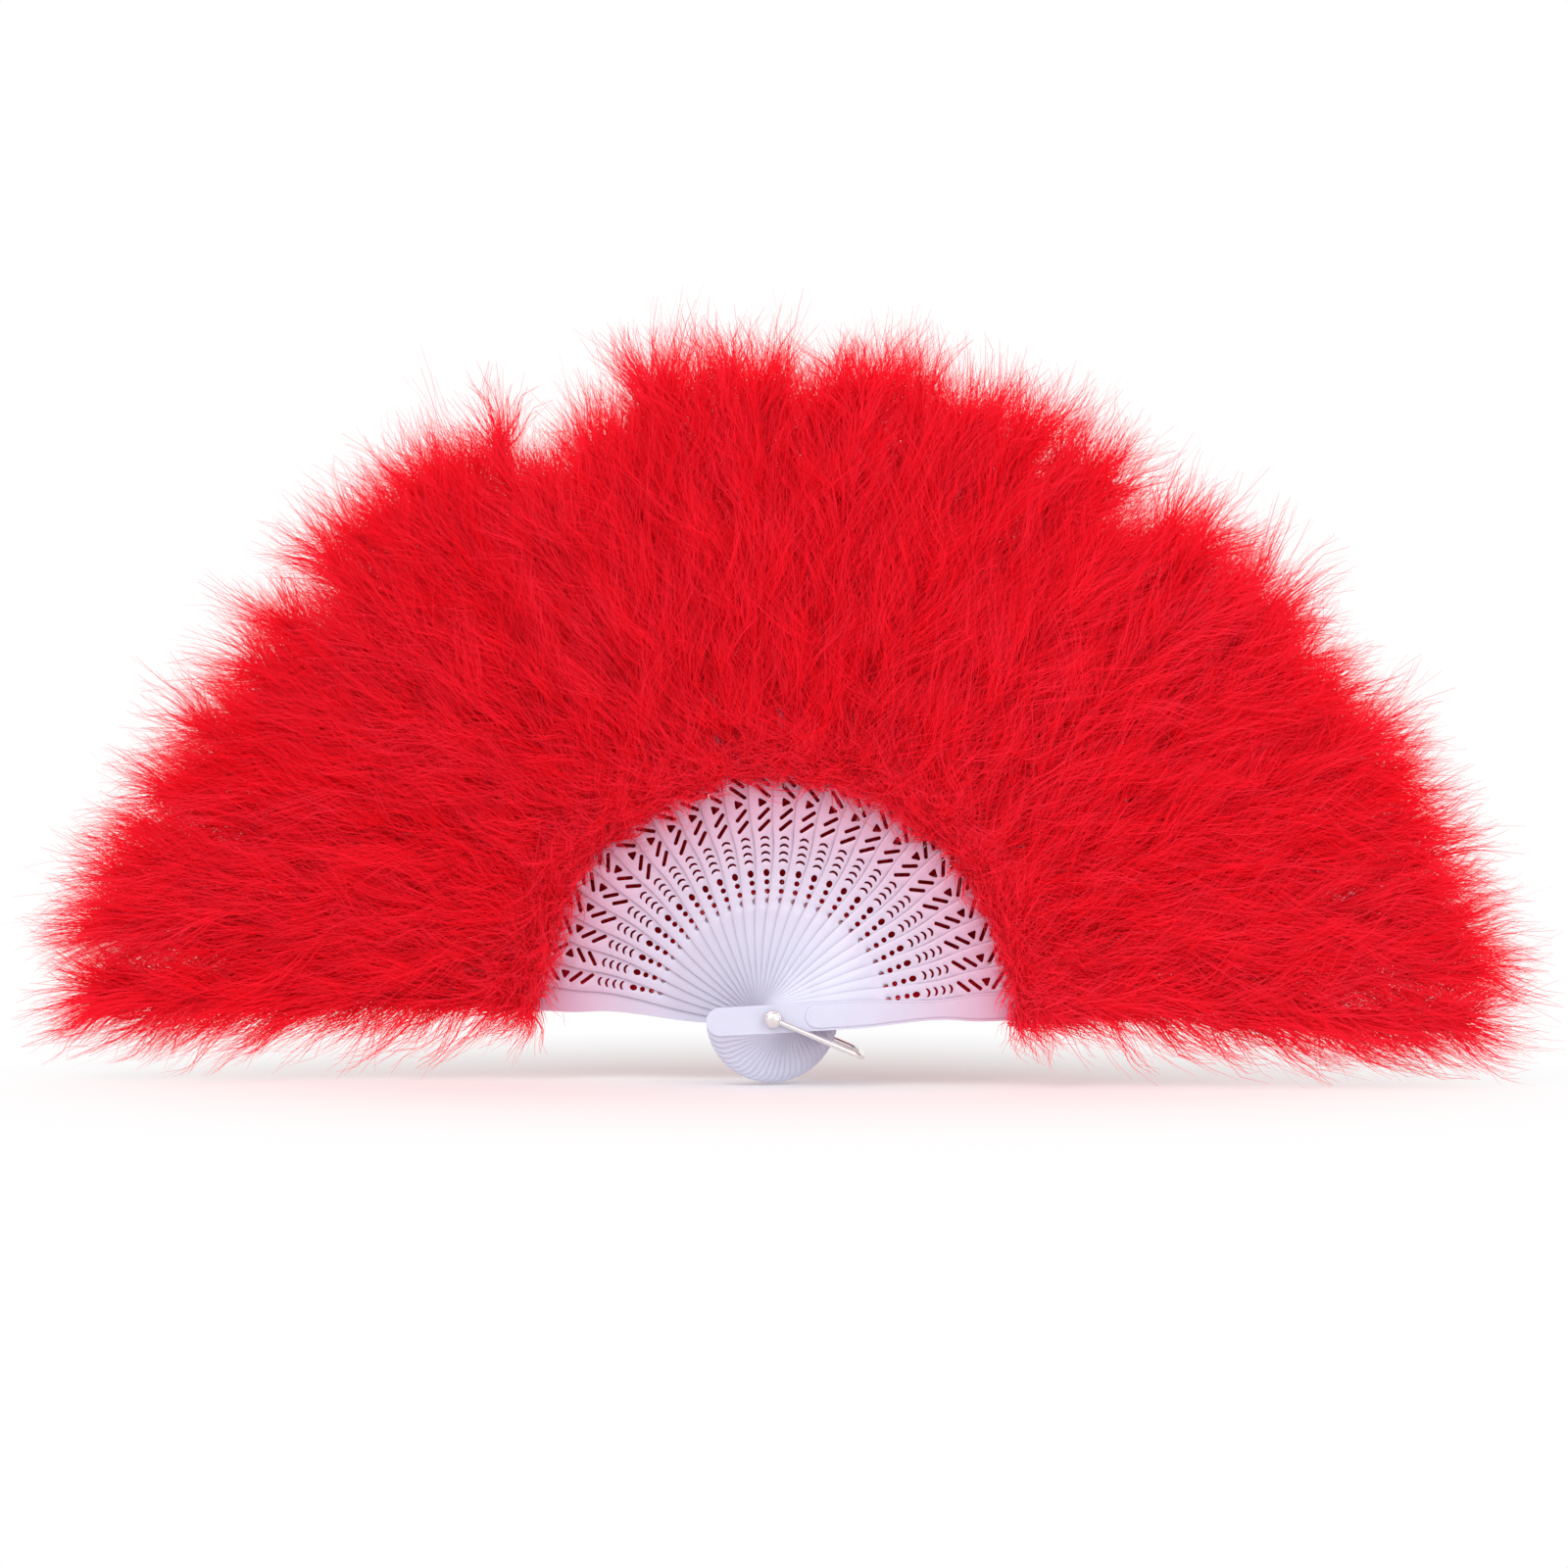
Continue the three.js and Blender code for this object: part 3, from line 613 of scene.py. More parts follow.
# Bail: the carrying loop, one length of plated steel wire bent to a U that swings round the roots.
# Each end is an eye on the rivet, and the wire is a little heavier at the bridge than at the eyes.
BAIL_LEG = 20.05 * MM
BAIL_REACH = 36 * MM
BAIL_BEND, BEND_STEPS, LEG_STEPS = 5 * MM, 9, 9
BAIL_WIRE_RADIUS, BAIL_NECK_RADIUS = 1.1 * MM, 0.95 * MM
EYE_RADIUS, EYE_WIRE_RADIUS = 2.5 * MM, 0.8 * MM
WIRE_ROUND_STEPS = 5
BAIL_REST = math.radians(-23)
bend_turns = np.linspace(0, math.pi / 2, BEND_STEPS)
leg_end, bridge_end = BAIL_REACH - BAIL_BEND, BAIL_LEG - BAIL_BEND
front_bend = [
    (leg_end + BAIL_BEND * math.sin(a), -bridge_end - BAIL_BEND * math.cos(a)) for a in bend_turns
]
front_leg = [(x, -BAIL_LEG) for x in np.linspace(EYE_RADIUS, leg_end, LEG_STEPS)[:-1]]
route = front_leg + front_bend
route += [(x, -y) for x, y in reversed(route)]
wire = bpy.data.curves.new("wire", "CURVE")
wire.dimensions, wire.fill_mode = "3D", "FULL"
wire.bevel_depth, wire.bevel_resolution, wire.use_fill_caps = 1.0, WIRE_ROUND_STEPS, True
strand = wire.splines.new("POLY")
strand.points.add(len(route) - 1)
for knot, (x, y) in zip(strand.points, route):
    knot.co = (x, y, 0, 1)
    knot.radius = BAIL_NECK_RADIUS + (BAIL_WIRE_RADIUS - BAIL_NECK_RADIUS) * min(x / leg_end, 1)
for eye_y in (-BAIL_LEG, BAIL_LEG):
    eye = wire.splines.new("POLY")
    eye.points.add(ROUND_SIDES - 1)
    eye.use_cyclic_u = True
    for at, knot in enumerate(eye.points):
        turn = 2 * math.pi * at / ROUND_SIDES
        knot.co = (EYE_RADIUS * math.cos(turn), eye_y, EYE_RADIUS * math.sin(turn), 1)
        knot.radius = EYE_WIRE_RADIUS
bail = curve_mesh(wire)
smooth_by_angle(bail, degrees=60)
bail.materials.clear()
bail.materials.append(nickel)
bail.transform(Matrix.Rotation(-BAIL_REST, 4, "Y"))
add_piece("bail", bail, "bail", "bright_metal", "bail_loop")

# Link ribbon: a narrow red satin ribbon glued across the front of every blade, which stops the spread.
# Each stick carries its own length of it, up to half way to its neighbours.
RIBBON_RADIUS = STICK_LENGTH - 12 * MM
RIBBON_HALF = 2.5 * MM
RIBBON_THICKNESS = 0.14 * MM
RIBBON_CLEAR = 0.03 * MM
RIBBON_STEPS = 12
RIBBON_PAST_BLADE = 1 * MM

# Red satin: a close weave whose floats lie across the ribbon, so it shines in narrow bands.
# Its threads are drawn coarser than real ones, so that they show.
THREAD = 0.5 * MM
satin = bpy.data.materials.new("red_satin_ribbon")
satin.use_nodes = True
weave = satin.node_tree
satin_shader = weave.nodes["Principled BSDF"]
satin_shader.inputs["Sheen Weight"].default_value = 0.4
satin_shader.inputs["Sheen Tint"].default_value = linear("#ff8a86")
weave_place = add_node(weave, "ShaderNodeTexCoord").node.outputs["Object"]
threads = add_node(
    weave, "ShaderNodeTexNoise", {"Vector": weave_place, "Scale": 1 / THREAD, "Detail": 2.0}
)
satin_red = add_node(
    weave,
    "ShaderNodeMix",
    {"Factor": threads, "A": linear("#a8081a"), "B": linear("#d31626")},
    data_type="RGBA",
)
weave.links.new(satin_red, satin_shader.inputs["Base Color"])
lustre = add_node(weave, "ShaderNodeMapRange", {"Value": threads, "To Min": 0.3, "To Max": 0.55})
weave.links.new(lustre, satin_shader.inputs["Roughness"])

half_pitch = STICK_PITCH / 2
blade_half = (TIP_HALF + RIBBON_PAST_BLADE) / RIBBON_RADIUS
for index in range(STICK_COUNT):
    first = -blade_half if index == 0 else -half_pitch
    last = blade_half if index == LAST_STICK else half_pitch
    points, faces = [], []
    for step, turn in enumerate(np.linspace(first, last, RIBBON_STEPS)):
        # Flat on its own blade, then half way to the next one's layer
        past = max(abs(turn) - blade_half, 0) / (half_pitch - blade_half)
        slope = math.copysign(past * LAYER_PITCH / 2, turn)
        front = -STICK_THICKNESS / 2 - RIBBON_CLEAR + slope
        angle = stick_angle(index) + turn
        for radius, y in (
            (RIBBON_RADIUS - RIBBON_HALF, front),
            (RIBBON_RADIUS + RIBBON_HALF, front),
            (RIBBON_RADIUS + RIBBON_HALF, front - RIBBON_THICKNESS),
            (RIBBON_RADIUS - RIBBON_HALF, front - RIBBON_THICKNESS),
        ):
            points.append((radius * math.cos(angle), stick_layer(index) + y, radius * math.sin(angle)))
        if step:
            for corner in range(4):
                near, far = 4 * step - 4 + corner, 4 * step - 4 + (corner + 1) % 4
                faces.append((near, far, far + 4, near + 4))
    faces += [(3, 2, 1, 0), tuple(range(len(points) - 4, len(points)))]
    strip = bpy.data.meshes.new("strip")
    strip.from_pydata(points, [], faces)
    strip.materials.append(satin)
    add_piece(f"ribbon_{index:02d}", strip, stick_body(index), "satin_ribbon", "link_ribbon")

# Plumes: dyed marabou, the down of a large bird, with its thin quills glued along each stick's blade.
# Tufts of soft barbs stand out round the quills, lie flat on both faces and fringe the inner edge.
# A lining of down behind the piercing is a piece of its own.
# The lining is down, put behind the piercing to stand in for the shade seen through its holes, so that they
# show dark.
QUILLS, GUARD_QUILLS = 3, 4
QUILL_START, QUILL_REACH, TIP_BARB = 92 * MM, (0.96, 1.0), 18 * MM
QUILL_FAN, GUARD_FAN_SHARE, QUILL_STRAY = math.radians(2.2), 0.9, 0.007
QUILL_BEND, QUILL_DEPTH, QUILL_FORWARD = 2 * MM, 3 * MM, 1.5 * MM
TUFTS = {"quill": 304, "front": 56, "back": 56, "edge": 58, "lining": 46}
TUFT_COUNT = sum(TUFTS.values())
TUFT_POINTS = 6
TUFT_TURN, TURN_STRAY = math.radians(137.5), 0.5
BACK_EDGE_SHARE = 0.4
LONG_TUFT_SHARE, LONG_TUFT, LONG_TUFT_UNTIL = 0.05, 1.3, 0.85
NEAR_GUARD = 3
FACE_DEPTH = 1.2 * MM
TUFT_STRAY, LINING_STRAY_SHARE = 0.13, 0.2
DEPTH_SHARE, CLOSING_UP, HANG = 0.8, 0.5, 0.12
FRONT_LIMIT, BACK_LIMIT = -27.3 * MM, 24.6 * MM
LOWEST = -20 * MM
FOLDED_SHARE, GUARD_FOLDED_SHARE = 0.2, 0.6
LINING_TOP, LINING_FOLDED_SHARE = 102 * MM, 0.1
LINING_LOOSE, LINING_LOOSE_NEAR_GUARD = 0.45, 0.25
DYE_MIDDLE, DYE_OF_QUILL, DYE_OF_TUFT = 0.5, 0.12, 0.15
DYE_AT_EDGE, DYE_LIMITS = 0.25, (0.05, 0.98)
FIRST_SEED = 100

# Where tufts are rooted, in millimetres along, across and behind the blade, how long they are,
# how far they open or stray from their direction, in degrees, and to which sides they turn, in radians
CROWDING = 0.6
QUILL_LENGTHS = ((0, 0.35, 0.8, 1), (36, 46, 43, 29))
QUILL_OPENING, OPENING_STRAY = ((0, 0.3, 0.8, 1), (56, 46, 43, 40)), 15
LENGTH_STRAY = (0.7, 1.15)
FLAT = {"radius": (88, 194), "side": (-7, 7), "length": (20, 34), "stray": 24}
EDGE = {"radius": (90, 104), "side": (-5, 5), "depth": (1, 7), "length": (12, 27), "opening": (60, 140)}
BACK_EDGE = {"depth": (6, 15), "opening": (35, 120)}
LINING = {"radius": (68, 102), "side": (-4.8, 4.8), "depth": (8, 14), "end": (35, 49), "stray": 4}
LINING_NEAR_GUARD = {"right": (-2.6, 5), "left": (-5, 2.6), "stray": 2.2}
INWARD = 180
TO_FRONT, TO_BACK = (-2.8, -0.3), (0.3, 2.8)

# The barbs of one tuft, which are wider than real ones, as these would be too fine to show
BARBS = {
    "Barbs per tuft": 16,
    "Root spread": 1.6 * MM,
    "Tuft spread": 5.8 * MM,
    "Barb width": 0.42 * MM,
    "Shortest share": 0.76,
    "Curl": 20 * MM,
    "Curl length": 16 * MM,
    "Seed": 1,
}
BARB_POINTS = 5
BARB_TIP_SHARE = 0.18

# Dyed marabou: fine barbs that pass light on, with painted shade that makes them deeper red at the quill
# and brighter to the tip.
# The map holds how far along its barb a point is, and how strongly that tuft took the dye.
LIGHT_THROUGH_BARB = 0.4
ROOT_SHADE, ROOT_SHADE_END = 0.35, 0.4
marabou = bpy.data.materials.new("dyed_marabou")
marabou.use_nodes = True
down = marabou.node_tree
down_shader = down.nodes["Principled BSDF"]
down_shader.inputs["Roughness"].default_value = 0.75
down_shader.inputs["Specular IOR Level"].default_value = 0.15
down_shader.inputs["Sheen Weight"].default_value = 0.25
down_shader.inputs["Sheen Roughness"].default_value = 0.4
down_shader.inputs["Sheen Tint"].default_value = linear("#ff6a66")
barb_map = add_node(down, "ShaderNodeUVMap", uv_map="OFBake")
along_barb = add_node(down, "ShaderNodeSeparateXYZ", {"Vector": barb_map})
tone = along_barb.node.outputs["Y"]
tuft_red = add_node(
    down,
    "ShaderNodeMix",
    {"Factor": tone, "A": linear("#ff0c28"), "B": linear("#ff3450")},
    data_type="RGBA",
)
# Painted shade: each barb turns deeper red towards its root, deep in the down where shade falls
painted_root_shade = add_node(
    down,
    "ShaderNodeMapRange",
    {"Value": along_barb, "From Max": ROOT_SHADE_END, "To Min": ROOT_SHADE, "To Max": 0.0},
)
barb_red = add_node(
    down,
    "ShaderNodeMix",
    {"Factor": painted_root_shade, "A": tuft_red, "B": linear("#c80516")},
    data_type="RGBA",
)
down.links.new(barb_red, down_shader.inputs["Base Color"])
glow = add_node(down, "ShaderNodeBsdfTranslucent", {"Color": barb_red})
soft = add_node(
    down, "ShaderNodeMixShader", {0: LIGHT_THROUGH_BARB, 1: down_shader.outputs["BSDF"], 2: glow}
)
down.links.new(soft, down.nodes["Material Output"].inputs["Surface"])

# Each tuft's line becomes a bundle of barbs, which are cut to their own lengths and spread out
plume_tree, barb_size = start_tree("marabou_plume", BARBS)
tufts = add_node(plume_tree, "GeometryNodeMeshToCurve", {"Mesh": barb_size["Geometry"]})
barbs = add_node(
    plume_tree,
    "GeometryNodeDuplicateElements",
    {"Geometry": tufts, "Amount": barb_size["Barbs per tuft"]},
    domain="SPLINE",
)
barb_end = add_node(
    plume_tree,
    "FunctionNodeRandomValue",
    {"Min": barb_size["Shortest share"], "Max": 1.0, "Seed": barb_size["Seed"]},
)
barbs = add_node(plume_tree, "GeometryNodeTrimCurve", {"Curve": barbs, "End": barb_end})
barbs = add_node(plume_tree, "GeometryNodeResampleCurve", {"Curve": barbs, "Count": BARB_POINTS})
along = add_node(plume_tree, "GeometryNodeSplineParameter")
barb = add_node(plume_tree, "GeometryNodeCurveOfPoint")
stray = add_node(
    plume_tree,
    "FunctionNodeRandomValue",
    {"Min": (-1.0, -1.0, -1.0), "Max": (1.0, 1.0, 1.0), "ID": barb, "Seed": barb_size["Seed"]},
    data_type="FLOAT_VECTOR",
)
spread = add_node(
    plume_tree,
    "ShaderNodeMath",
    {0: along, 1: barb_size["Tuft spread"], 2: barb_size["Root spread"]},
    operation="MULTIPLY_ADD",
)
loose = add_node(plume_tree, "GeometryNodeInputNamedAttribute", {"Name": "loose"}, data_type="FLOAT")
spread = add_node(plume_tree, "ShaderNodeMath", {0: spread, 1: loose}, operation="MULTIPLY")
stray_by = add_node(plume_tree, "ShaderNodeVectorMath", {0: stray, "Scale": spread}, operation="SCALE")

# They curl in waves that they nearly share with their neighbours
finer = add_node(plume_tree, "ShaderNodeMath", {0: 1.0, 1: barb_size["Curl length"]}, operation="DIVIDE")
barb_place = add_node(plume_tree, "GeometryNodeInputPosition")
own_wave = add_node(
    plume_tree,
    "ShaderNodeVectorMath",
    {0: stray_by, 1: (2.0, 2.0, 2.0), 2: barb_place},
    operation="MULTIPLY_ADD",
)
wave = add_node(plume_tree, "ShaderNodeTexNoise", {"Vector": own_wave, "Scale": finer, "Detail": 2.0})
wave = add_node(
    plume_tree,
    "ShaderNodeVectorMath",
    {0: wave.node.outputs["Color"], 1: (0.5, 0.5, 0.5)},
    operation="SUBTRACT",
)
curl = add_node(plume_tree, "ShaderNodeMath", {0: along, 1: barb_size["Curl"]}, operation="MULTIPLY")
curl = add_node(plume_tree, "ShaderNodeMath", {0: curl, 1: loose}, operation="MULTIPLY")
moved = add_node(plume_tree, "ShaderNodeVectorMath", {0: wave, "Scale": curl}, operation="SCALE")
moved = add_node(plume_tree, "ShaderNodeVectorMath", {0: moved, 1: stray_by}, operation="ADD")
barbs = add_node(plume_tree, "GeometryNodeSetPosition", {"Geometry": barbs, "Offset": moved})
twist = add_node(
    plume_tree,
    "FunctionNodeRandomValue",
    {"Min": 0.0, "Max": math.pi, "ID": barb, "Seed": barb_size["Seed"]},
)
barbs = add_node(plume_tree, "GeometryNodeSetCurveTilt", {"Curve": barbs, "Tilt": twist})

# Each barb is a narrow strip that tapers to its tip and carries its map
barbs = add_node(
    plume_tree,
    "GeometryNodeStoreNamedAttribute",
    {"Geometry": barbs, "Name": "along", "Value": along},
    domain="POINT",
)
taper = add_node(
    plume_tree, "ShaderNodeMapRange", {"Value": along, "To Min": 1.0, "To Max": BARB_TIP_SHARE}
)
width = add_node(plume_tree, "ShaderNodeMath", {0: taper, 1: barb_size["Barb width"]}, operation="MULTIPLY")
section = add_node(
    plume_tree, "GeometryNodeCurvePrimitiveLine", {"Start": (-0.5, 0, 0), "End": (0.5, 0, 0)}
)
down_mesh = add_node(
    plume_tree, "GeometryNodeCurveToMesh", {"Curve": barbs, "Profile Curve": section, "Scale": width}
)
kept_along = add_node(plume_tree, "GeometryNodeInputNamedAttribute", {"Name": "along"}, data_type="FLOAT")
kept_tone = add_node(plume_tree, "GeometryNodeInputNamedAttribute", {"Name": "tone"}, data_type="FLOAT")
barb_at = add_node(plume_tree, "ShaderNodeCombineXYZ", {"X": kept_along, "Y": kept_tone})
down_mesh = add_node(
    plume_tree,
    "GeometryNodeStoreNamedAttribute",
    {"Geometry": down_mesh, "Name": "OFBake", "Value": barb_at},
    data_type="FLOAT2",
    domain="CORNER",
)
down_mesh = add_node(plume_tree, "GeometryNodeSetShadeSmooth", {"Geometry": down_mesh})
down_mesh = add_node(plume_tree, "GeometryNodeRealizeInstances", {"Geometry": down_mesh})
down_mesh = add_node(plume_tree, "GeometryNodeSetMaterial", {"Geometry": down_mesh, "Material": marabou})
add_node(plume_tree, "NodeGroupOutput", {"Geometry": down_mesh})


def tuft_lines(index, cad_node, chance):
    """Each tuft's middle line from its root, its dye, how loose it is, and if it is of the lining."""
    guard = index in (0, LAST_STICK)
    near_guard = min(index, LAST_STICK - index) < NEAR_GUARD
    kind = np.repeat(list(TUFTS), list(TUFTS.values()))
    if guard:
        kind[kind == "lining"] = "quill"
    on_quill, front, back, edge, lining = (kind == name for name in TUFTS)
    flat = front | back
    back_edge = edge & (chance.random(TUFT_COUNT) < BACK_EDGE_SHARE)

    def between(limits, chosen):
        return chance.uniform(*limits, chosen.sum())

    # How far this plume reaches, and its quills, which share the tufts out evenly
    corners = np.array([vertex.co for vertex in frame["nodes"][cad_node].data.vertices])
    reach = np.hypot(corners[:, 0], corners[:, 2]).max()
    quills = GUARD_QUILLS if guard else QUILLS
    rank = np.cumsum(on_quill) - 1
    quill = np.where(on_quill, rank % quills, chance.integers(0, quills, TUFT_COUNT))
    pitch = QUILL_FAN * (GUARD_FAN_SHARE if guard else 1) * (1 if index else -1)
    fan_out = (pitch * (np.arange(quills) - 1) + chance.normal(0, QUILL_STRAY, quills))[quill]
    quill_end = (reach * chance.uniform(*QUILL_REACH, quills) - TIP_BARB)[quill]
    quill_bend = chance.normal(0, QUILL_BEND, quills)[quill]
    quill_depth = chance.normal(0, QUILL_DEPTH, quills)[quill]
    along = ((rank + chance.random(TUFT_COUNT)) / on_quill.sum()) ** CROWDING

    # Roots: along the quills, flat on both faces of the blade, at the inner edge, and behind the piercing
    radius = np.where(on_quill, QUILL_START + (quill_end - QUILL_START) * along, 0)
    radius[flat] = between(FLAT["radius"], flat) * MM
    radius[edge] = between(EDGE["radius"], edge) * MM
    # The lining's down stands in for the shade seen through the piercing
    radius[lining] = between(LINING["radius"], lining) * MM
    sideways = np.where(on_quill, quill_bend * along**2, 0)
    sideways[flat] = between(FLAT["side"], flat) * MM
    sideways[edge] = between(EDGE["side"], edge) * MM
    guard_side = "right" if index < NEAR_GUARD else "left"
    lining_sides = LINING_NEAR_GUARD[guard_side] if near_guard else LINING["side"]
    sideways[lining] = between(lining_sides, lining) * MM
    depth = stick_layer(index) + np.where(on_quill, quill_depth * along - QUILL_FORWARD, 0)
    depth[front] -= FACE_DEPTH
    depth[back] += FACE_DEPTH
    depth[edge] -= between(EDGE["depth"], edge) * MM
    depth[back_edge] = stick_layer(index) + between(BACK_EDGE["depth"], back_edge) * MM
    depth[lining] += between(LINING["depth"], lining) * MM
    angle = stick_angle(index) + np.where(on_quill, fan_out * np.clip(along * 2, 0, 1), 0)
    outward = np.stack((np.cos(angle), 0 * angle, np.sin(angle)), axis=1)
    left = np.stack((-np.sin(angle), 0 * angle, np.cos(angle)), axis=1)
    behind = np.array((0, 1, 0))
    roots = outward * radius[:, None] + left * sideways[:, None] + np.outer(depth, behind)

    # How long each tuft is, how far it opens from the outward direction, and to which side
    length = MM * np.interp(along, *QUILL_LENGTHS) * chance.uniform(*LENGTH_STRAY, TUFT_COUNT)
    long = (chance.random(TUFT_COUNT) < LONG_TUFT_SHARE) & (along < LONG_TUFT_UNTIL)
    length *= np.where(long, LONG_TUFT, 1)
    length[flat] = between(FLAT["length"], flat) * MM
    length[edge] = between(EDGE["length"], edge) * MM
    length[lining] = radius[lining] - between(LINING["end"], lining) * MM
    opened = np.interp(along, *QUILL_OPENING) + chance.normal(0, OPENING_STRAY, TUFT_COUNT)
    opened[flat] = np.abs(chance.normal(0, FLAT["stray"], flat.sum()))
    opened[edge] = between(EDGE["opening"], edge)
    opened[back_edge] = between(BACK_EDGE["opening"], back_edge)
    lining_stray = (LINING_NEAR_GUARD if near_guard else LINING)["stray"]
    opened[lining] = chance.normal(INWARD, lining_stray, lining.sum())
    opened = np.radians(opened)
    about = np.where(on_quill, rank * TUFT_TURN, 0) + chance.normal(0, TURN_STRAY, TUFT_COUNT)
    about[edge] = between((0, 2 * math.pi), edge)
    about[front] = between(TO_FRONT, front)
    about[back] = between(TO_BACK, back)
    about[back_edge] = between(TO_BACK, back_edge)
    about[lining] = 0
    aside = left * np.cos(about)[:, None] + np.outer(DEPTH_SHARE * np.sin(about), behind)
    stray = chance.normal(0, TUFT_STRAY, (TUFT_COUNT, 3))
    stray[lining] *= LINING_STRAY_SHARE

    # Each tuft grows outwards in steps, closing up as it goes, and hangs a little at its end
    lines = np.empty((TUFT_COUNT, TUFT_POINTS, 3))
    lines[:, 0] = roots
    for step in range(1, TUFT_POINTS):
        grown = (step - 0.5) / (TUFT_POINTS - 1)
        now = (opened * np.where(lining, 1, 1 - CLOSING_UP * grown))[:, None]
        heading = np.cos(now) * outward + np.sin(now) * aside + stray * 2 * grown
        heading[on_quill, 2] -= HANG * grown
        lines[:, step] = lines[:, step - 1] + heading * length[:, None] / (TUFT_POINTS - 1)

    # The down stays within its depth, and is pressed up softly where it comes below the guards
    lines[..., 1] = np.clip(lines[..., 1], FRONT_LIMIT, BACK_LIMIT)
    low = np.minimum(lines[..., 2], 0)
    lines[..., 2] += LOWEST * np.tanh(low / LOWEST) - low
    dye = DYE_MIDDLE + chance.normal(0, DYE_OF_QUILL, quills)[quill]
    dye += chance.normal(0, DYE_OF_TUFT, TUFT_COUNT)
    dye[edge] += DYE_AT_EDGE
    lining_loose = LINING_LOOSE_NEAR_GUARD if near_guard else LINING_LOOSE
    return lines, np.clip(dye, *DYE_LIMITS), np.where(lining, lining_loose, 1), lining


for index in range(STICK_COUNT):
    outer = index in (0, LAST_STICK)
    cad_node = {0: "right_guard_plume", LAST_STICK: "left_guard_plume"}.get(index, f"plume_{index:02d}")
    chance = np.random.default_rng(FIRST_SEED + index)
    lines, dyes, looseness, lining = tuft_lines(index, cad_node, chance)
    flattened = GUARD_FOLDED_SHARE if outer else FOLDED_SHARE
    middle = np.array((0, stick_layer(index), 0))
    outward = np.array((math.cos(stick_angle(index)), 0, math.sin(stick_angle(index))))
    for name, chosen, axis, anchor, keep in (
        ("down", ~lining, (0, 1, 0), middle, flattened),
        ("lining", lining, outward, middle + outward * LINING_TOP, LINING_FOLDED_SHARE),
    ):
        count = chosen.sum()
        if not count:
            continue
        guide = bpy.data.meshes.new("tufts")
        starts = np.arange(count * TUFT_POINTS).reshape(count, TUFT_POINTS)
        links = np.stack((starts[:, :-1].ravel(), starts[:, 1:].ravel()), axis=1)
        guide.from_pydata(lines[chosen].reshape(-1, 3), links.tolist(), [])
        for label, values in (("tone", dyes), ("loose", looseness)):
            points = np.repeat(values[chosen], TUFT_POINTS)
            guide.attributes.new(label, "FLOAT", "POINT").data.foreach_set("value", points)
        plume = run_tree(guide, plume_tree, {"Seed": index}, marabou)
        piece = add_piece(f"{name}_{cad_node}", plume, stick_body(index), "marabou", cad_node)
        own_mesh(piece)

# Stage: a plain white floor just under the roots, soft light from the front, and the camera.
# The camera is level, square to the open fan, and frames it as the photograph does.
FLOOR_Z, FLOOR_HALF = cad_low.z - 1 * MM, 6.0
SHADOW_FROM, SHADOW_TO = 0.04, 0.34
CAMERA_AT = (4.1 * MM, -1.5, 87.7 * MM)
FRAME_WIDTH, SENSOR_WIDTH = 592 * MM, 36
LIGHT_AIM, LIGHT_SIZE = Vector((0, 0, 0.1)), 1.2
LIGHTS = {"key": ((-0.7, -1.6, 1.3), 17.5), "fill": ((1.0, -1.4, 0.6), 9.3)}
AIR_LIGHT = 0.7

floor_mesh = bpy.data.meshes.new("floor")
floor_corners = [(x * FLOOR_HALF, y * FLOOR_HALF, FLOOR_Z) for x, y in ((-1, -1), (1, -1), (1, 1), (-1, 1))]
floor_mesh.from_pydata(floor_corners, [], [(0, 1, 2, 3)])
floor = bpy.data.objects.new("floor", floor_mesh)
bpy.context.scene.collection.objects.link(floor)


def seen_directly(tree):
    """1 for a ray from the camera, a reflection or clear glass, and 0 for the light on the object."""
    ray = add_node(tree, "ShaderNodeLightPath").node.outputs
    seen = ray["Is Camera Ray"]
    for other in ("Is Glossy Ray", "Is Transmission Ray"):
        seen = add_node(tree, "ShaderNodeMath", {0: seen, 1: ray[other]}, operation="MAXIMUM")
    return seen


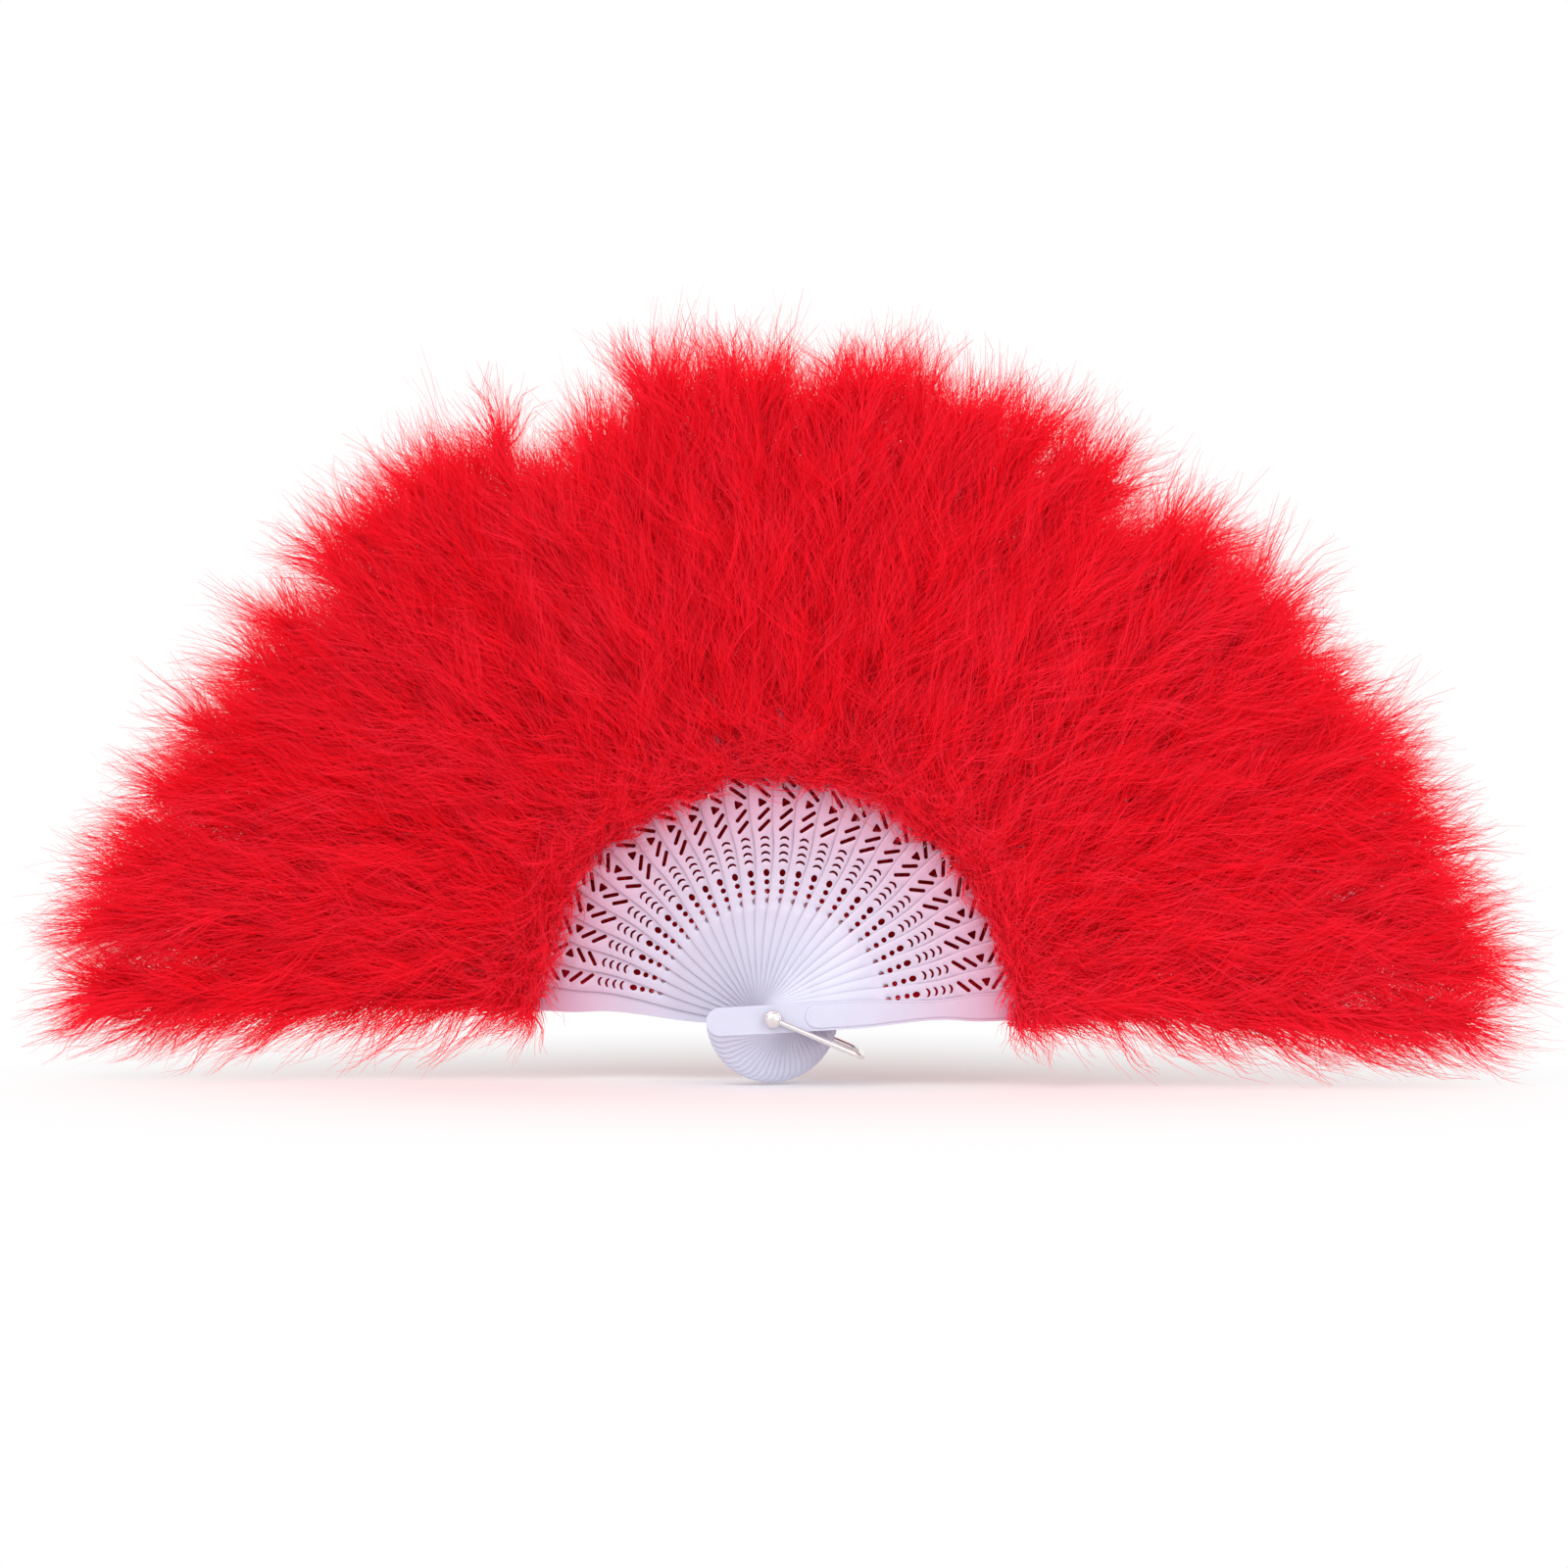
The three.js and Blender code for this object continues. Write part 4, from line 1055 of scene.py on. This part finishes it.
# Matt white paper: it keeps the shadow near the fan and runs out into the white background.
paper = bpy.data.materials.new("white_paper")
paper.use_nodes = True
sheet = paper.node_tree
paper_shader = sheet.nodes["Principled BSDF"]
paper_shader.inputs["Base Color"].default_value = linear("#ffffff")
paper_shader.inputs["Roughness"].default_value = 0.9
paper_place = add_node(sheet, "ShaderNodeTexCoord").node.outputs["Object"]
from_middle = add_node(sheet, "ShaderNodeVectorMath", {0: paper_place}, operation="LENGTH")
fade = add_node(
    sheet,
    "ShaderNodeMapRange",
    {"Value": from_middle.node.outputs["Value"], "From Min": SHADOW_FROM, "From Max": SHADOW_TO},
)
fade = add_node(sheet, "ShaderNodeMath", {0: fade, 1: seen_directly(sheet)}, operation="MULTIPLY")
plain = add_node(sheet, "ShaderNodeEmission", {"Color": linear("#ffffff"), "Strength": 1.0})
ground = add_node(sheet, "ShaderNodeMixShader", {0: fade, 1: paper_shader.outputs["BSDF"], 2: plain})
sheet.links.new(ground, sheet.nodes["Material Output"].inputs["Surface"])
floor_mesh.materials.append(paper)

world = bpy.data.worlds.new("studio")
bpy.context.scene.world = world
world.use_nodes = True
air = world.node_tree
level = add_node(
    air, "ShaderNodeMapRange", {"Value": seen_directly(air), "To Min": AIR_LIGHT, "To Max": 1.0}
)
background = air.nodes["Background"]
background.inputs["Color"].default_value = linear("#ffffff")
air.links.new(level, background.inputs["Strength"])

for name, (place, power) in LIGHTS.items():
    lamp = bpy.data.lights.new(name, "AREA")
    lamp.size, lamp.energy = LIGHT_SIZE, power
    light = bpy.data.objects.new(name, lamp)
    light.location = place
    light.rotation_euler = (LIGHT_AIM - light.location).to_track_quat("-Z", "Y").to_euler()
    bpy.context.scene.collection.objects.link(light)

lens = bpy.data.cameras.new("camera")
lens.sensor_width = SENSOR_WIDTH
lens.lens = SENSOR_WIDTH * -CAMERA_AT[1] / FRAME_WIDTH
camera = bpy.data.objects.new("camera", lens)
camera.location = CAMERA_AT
camera.rotation_euler = (math.pi / 2, 0, 0)
bpy.context.scene.collection.objects.link(camera)
bpy.context.scene.camera = camera
bpy.context.scene.view_settings.view_transform = "Standard"
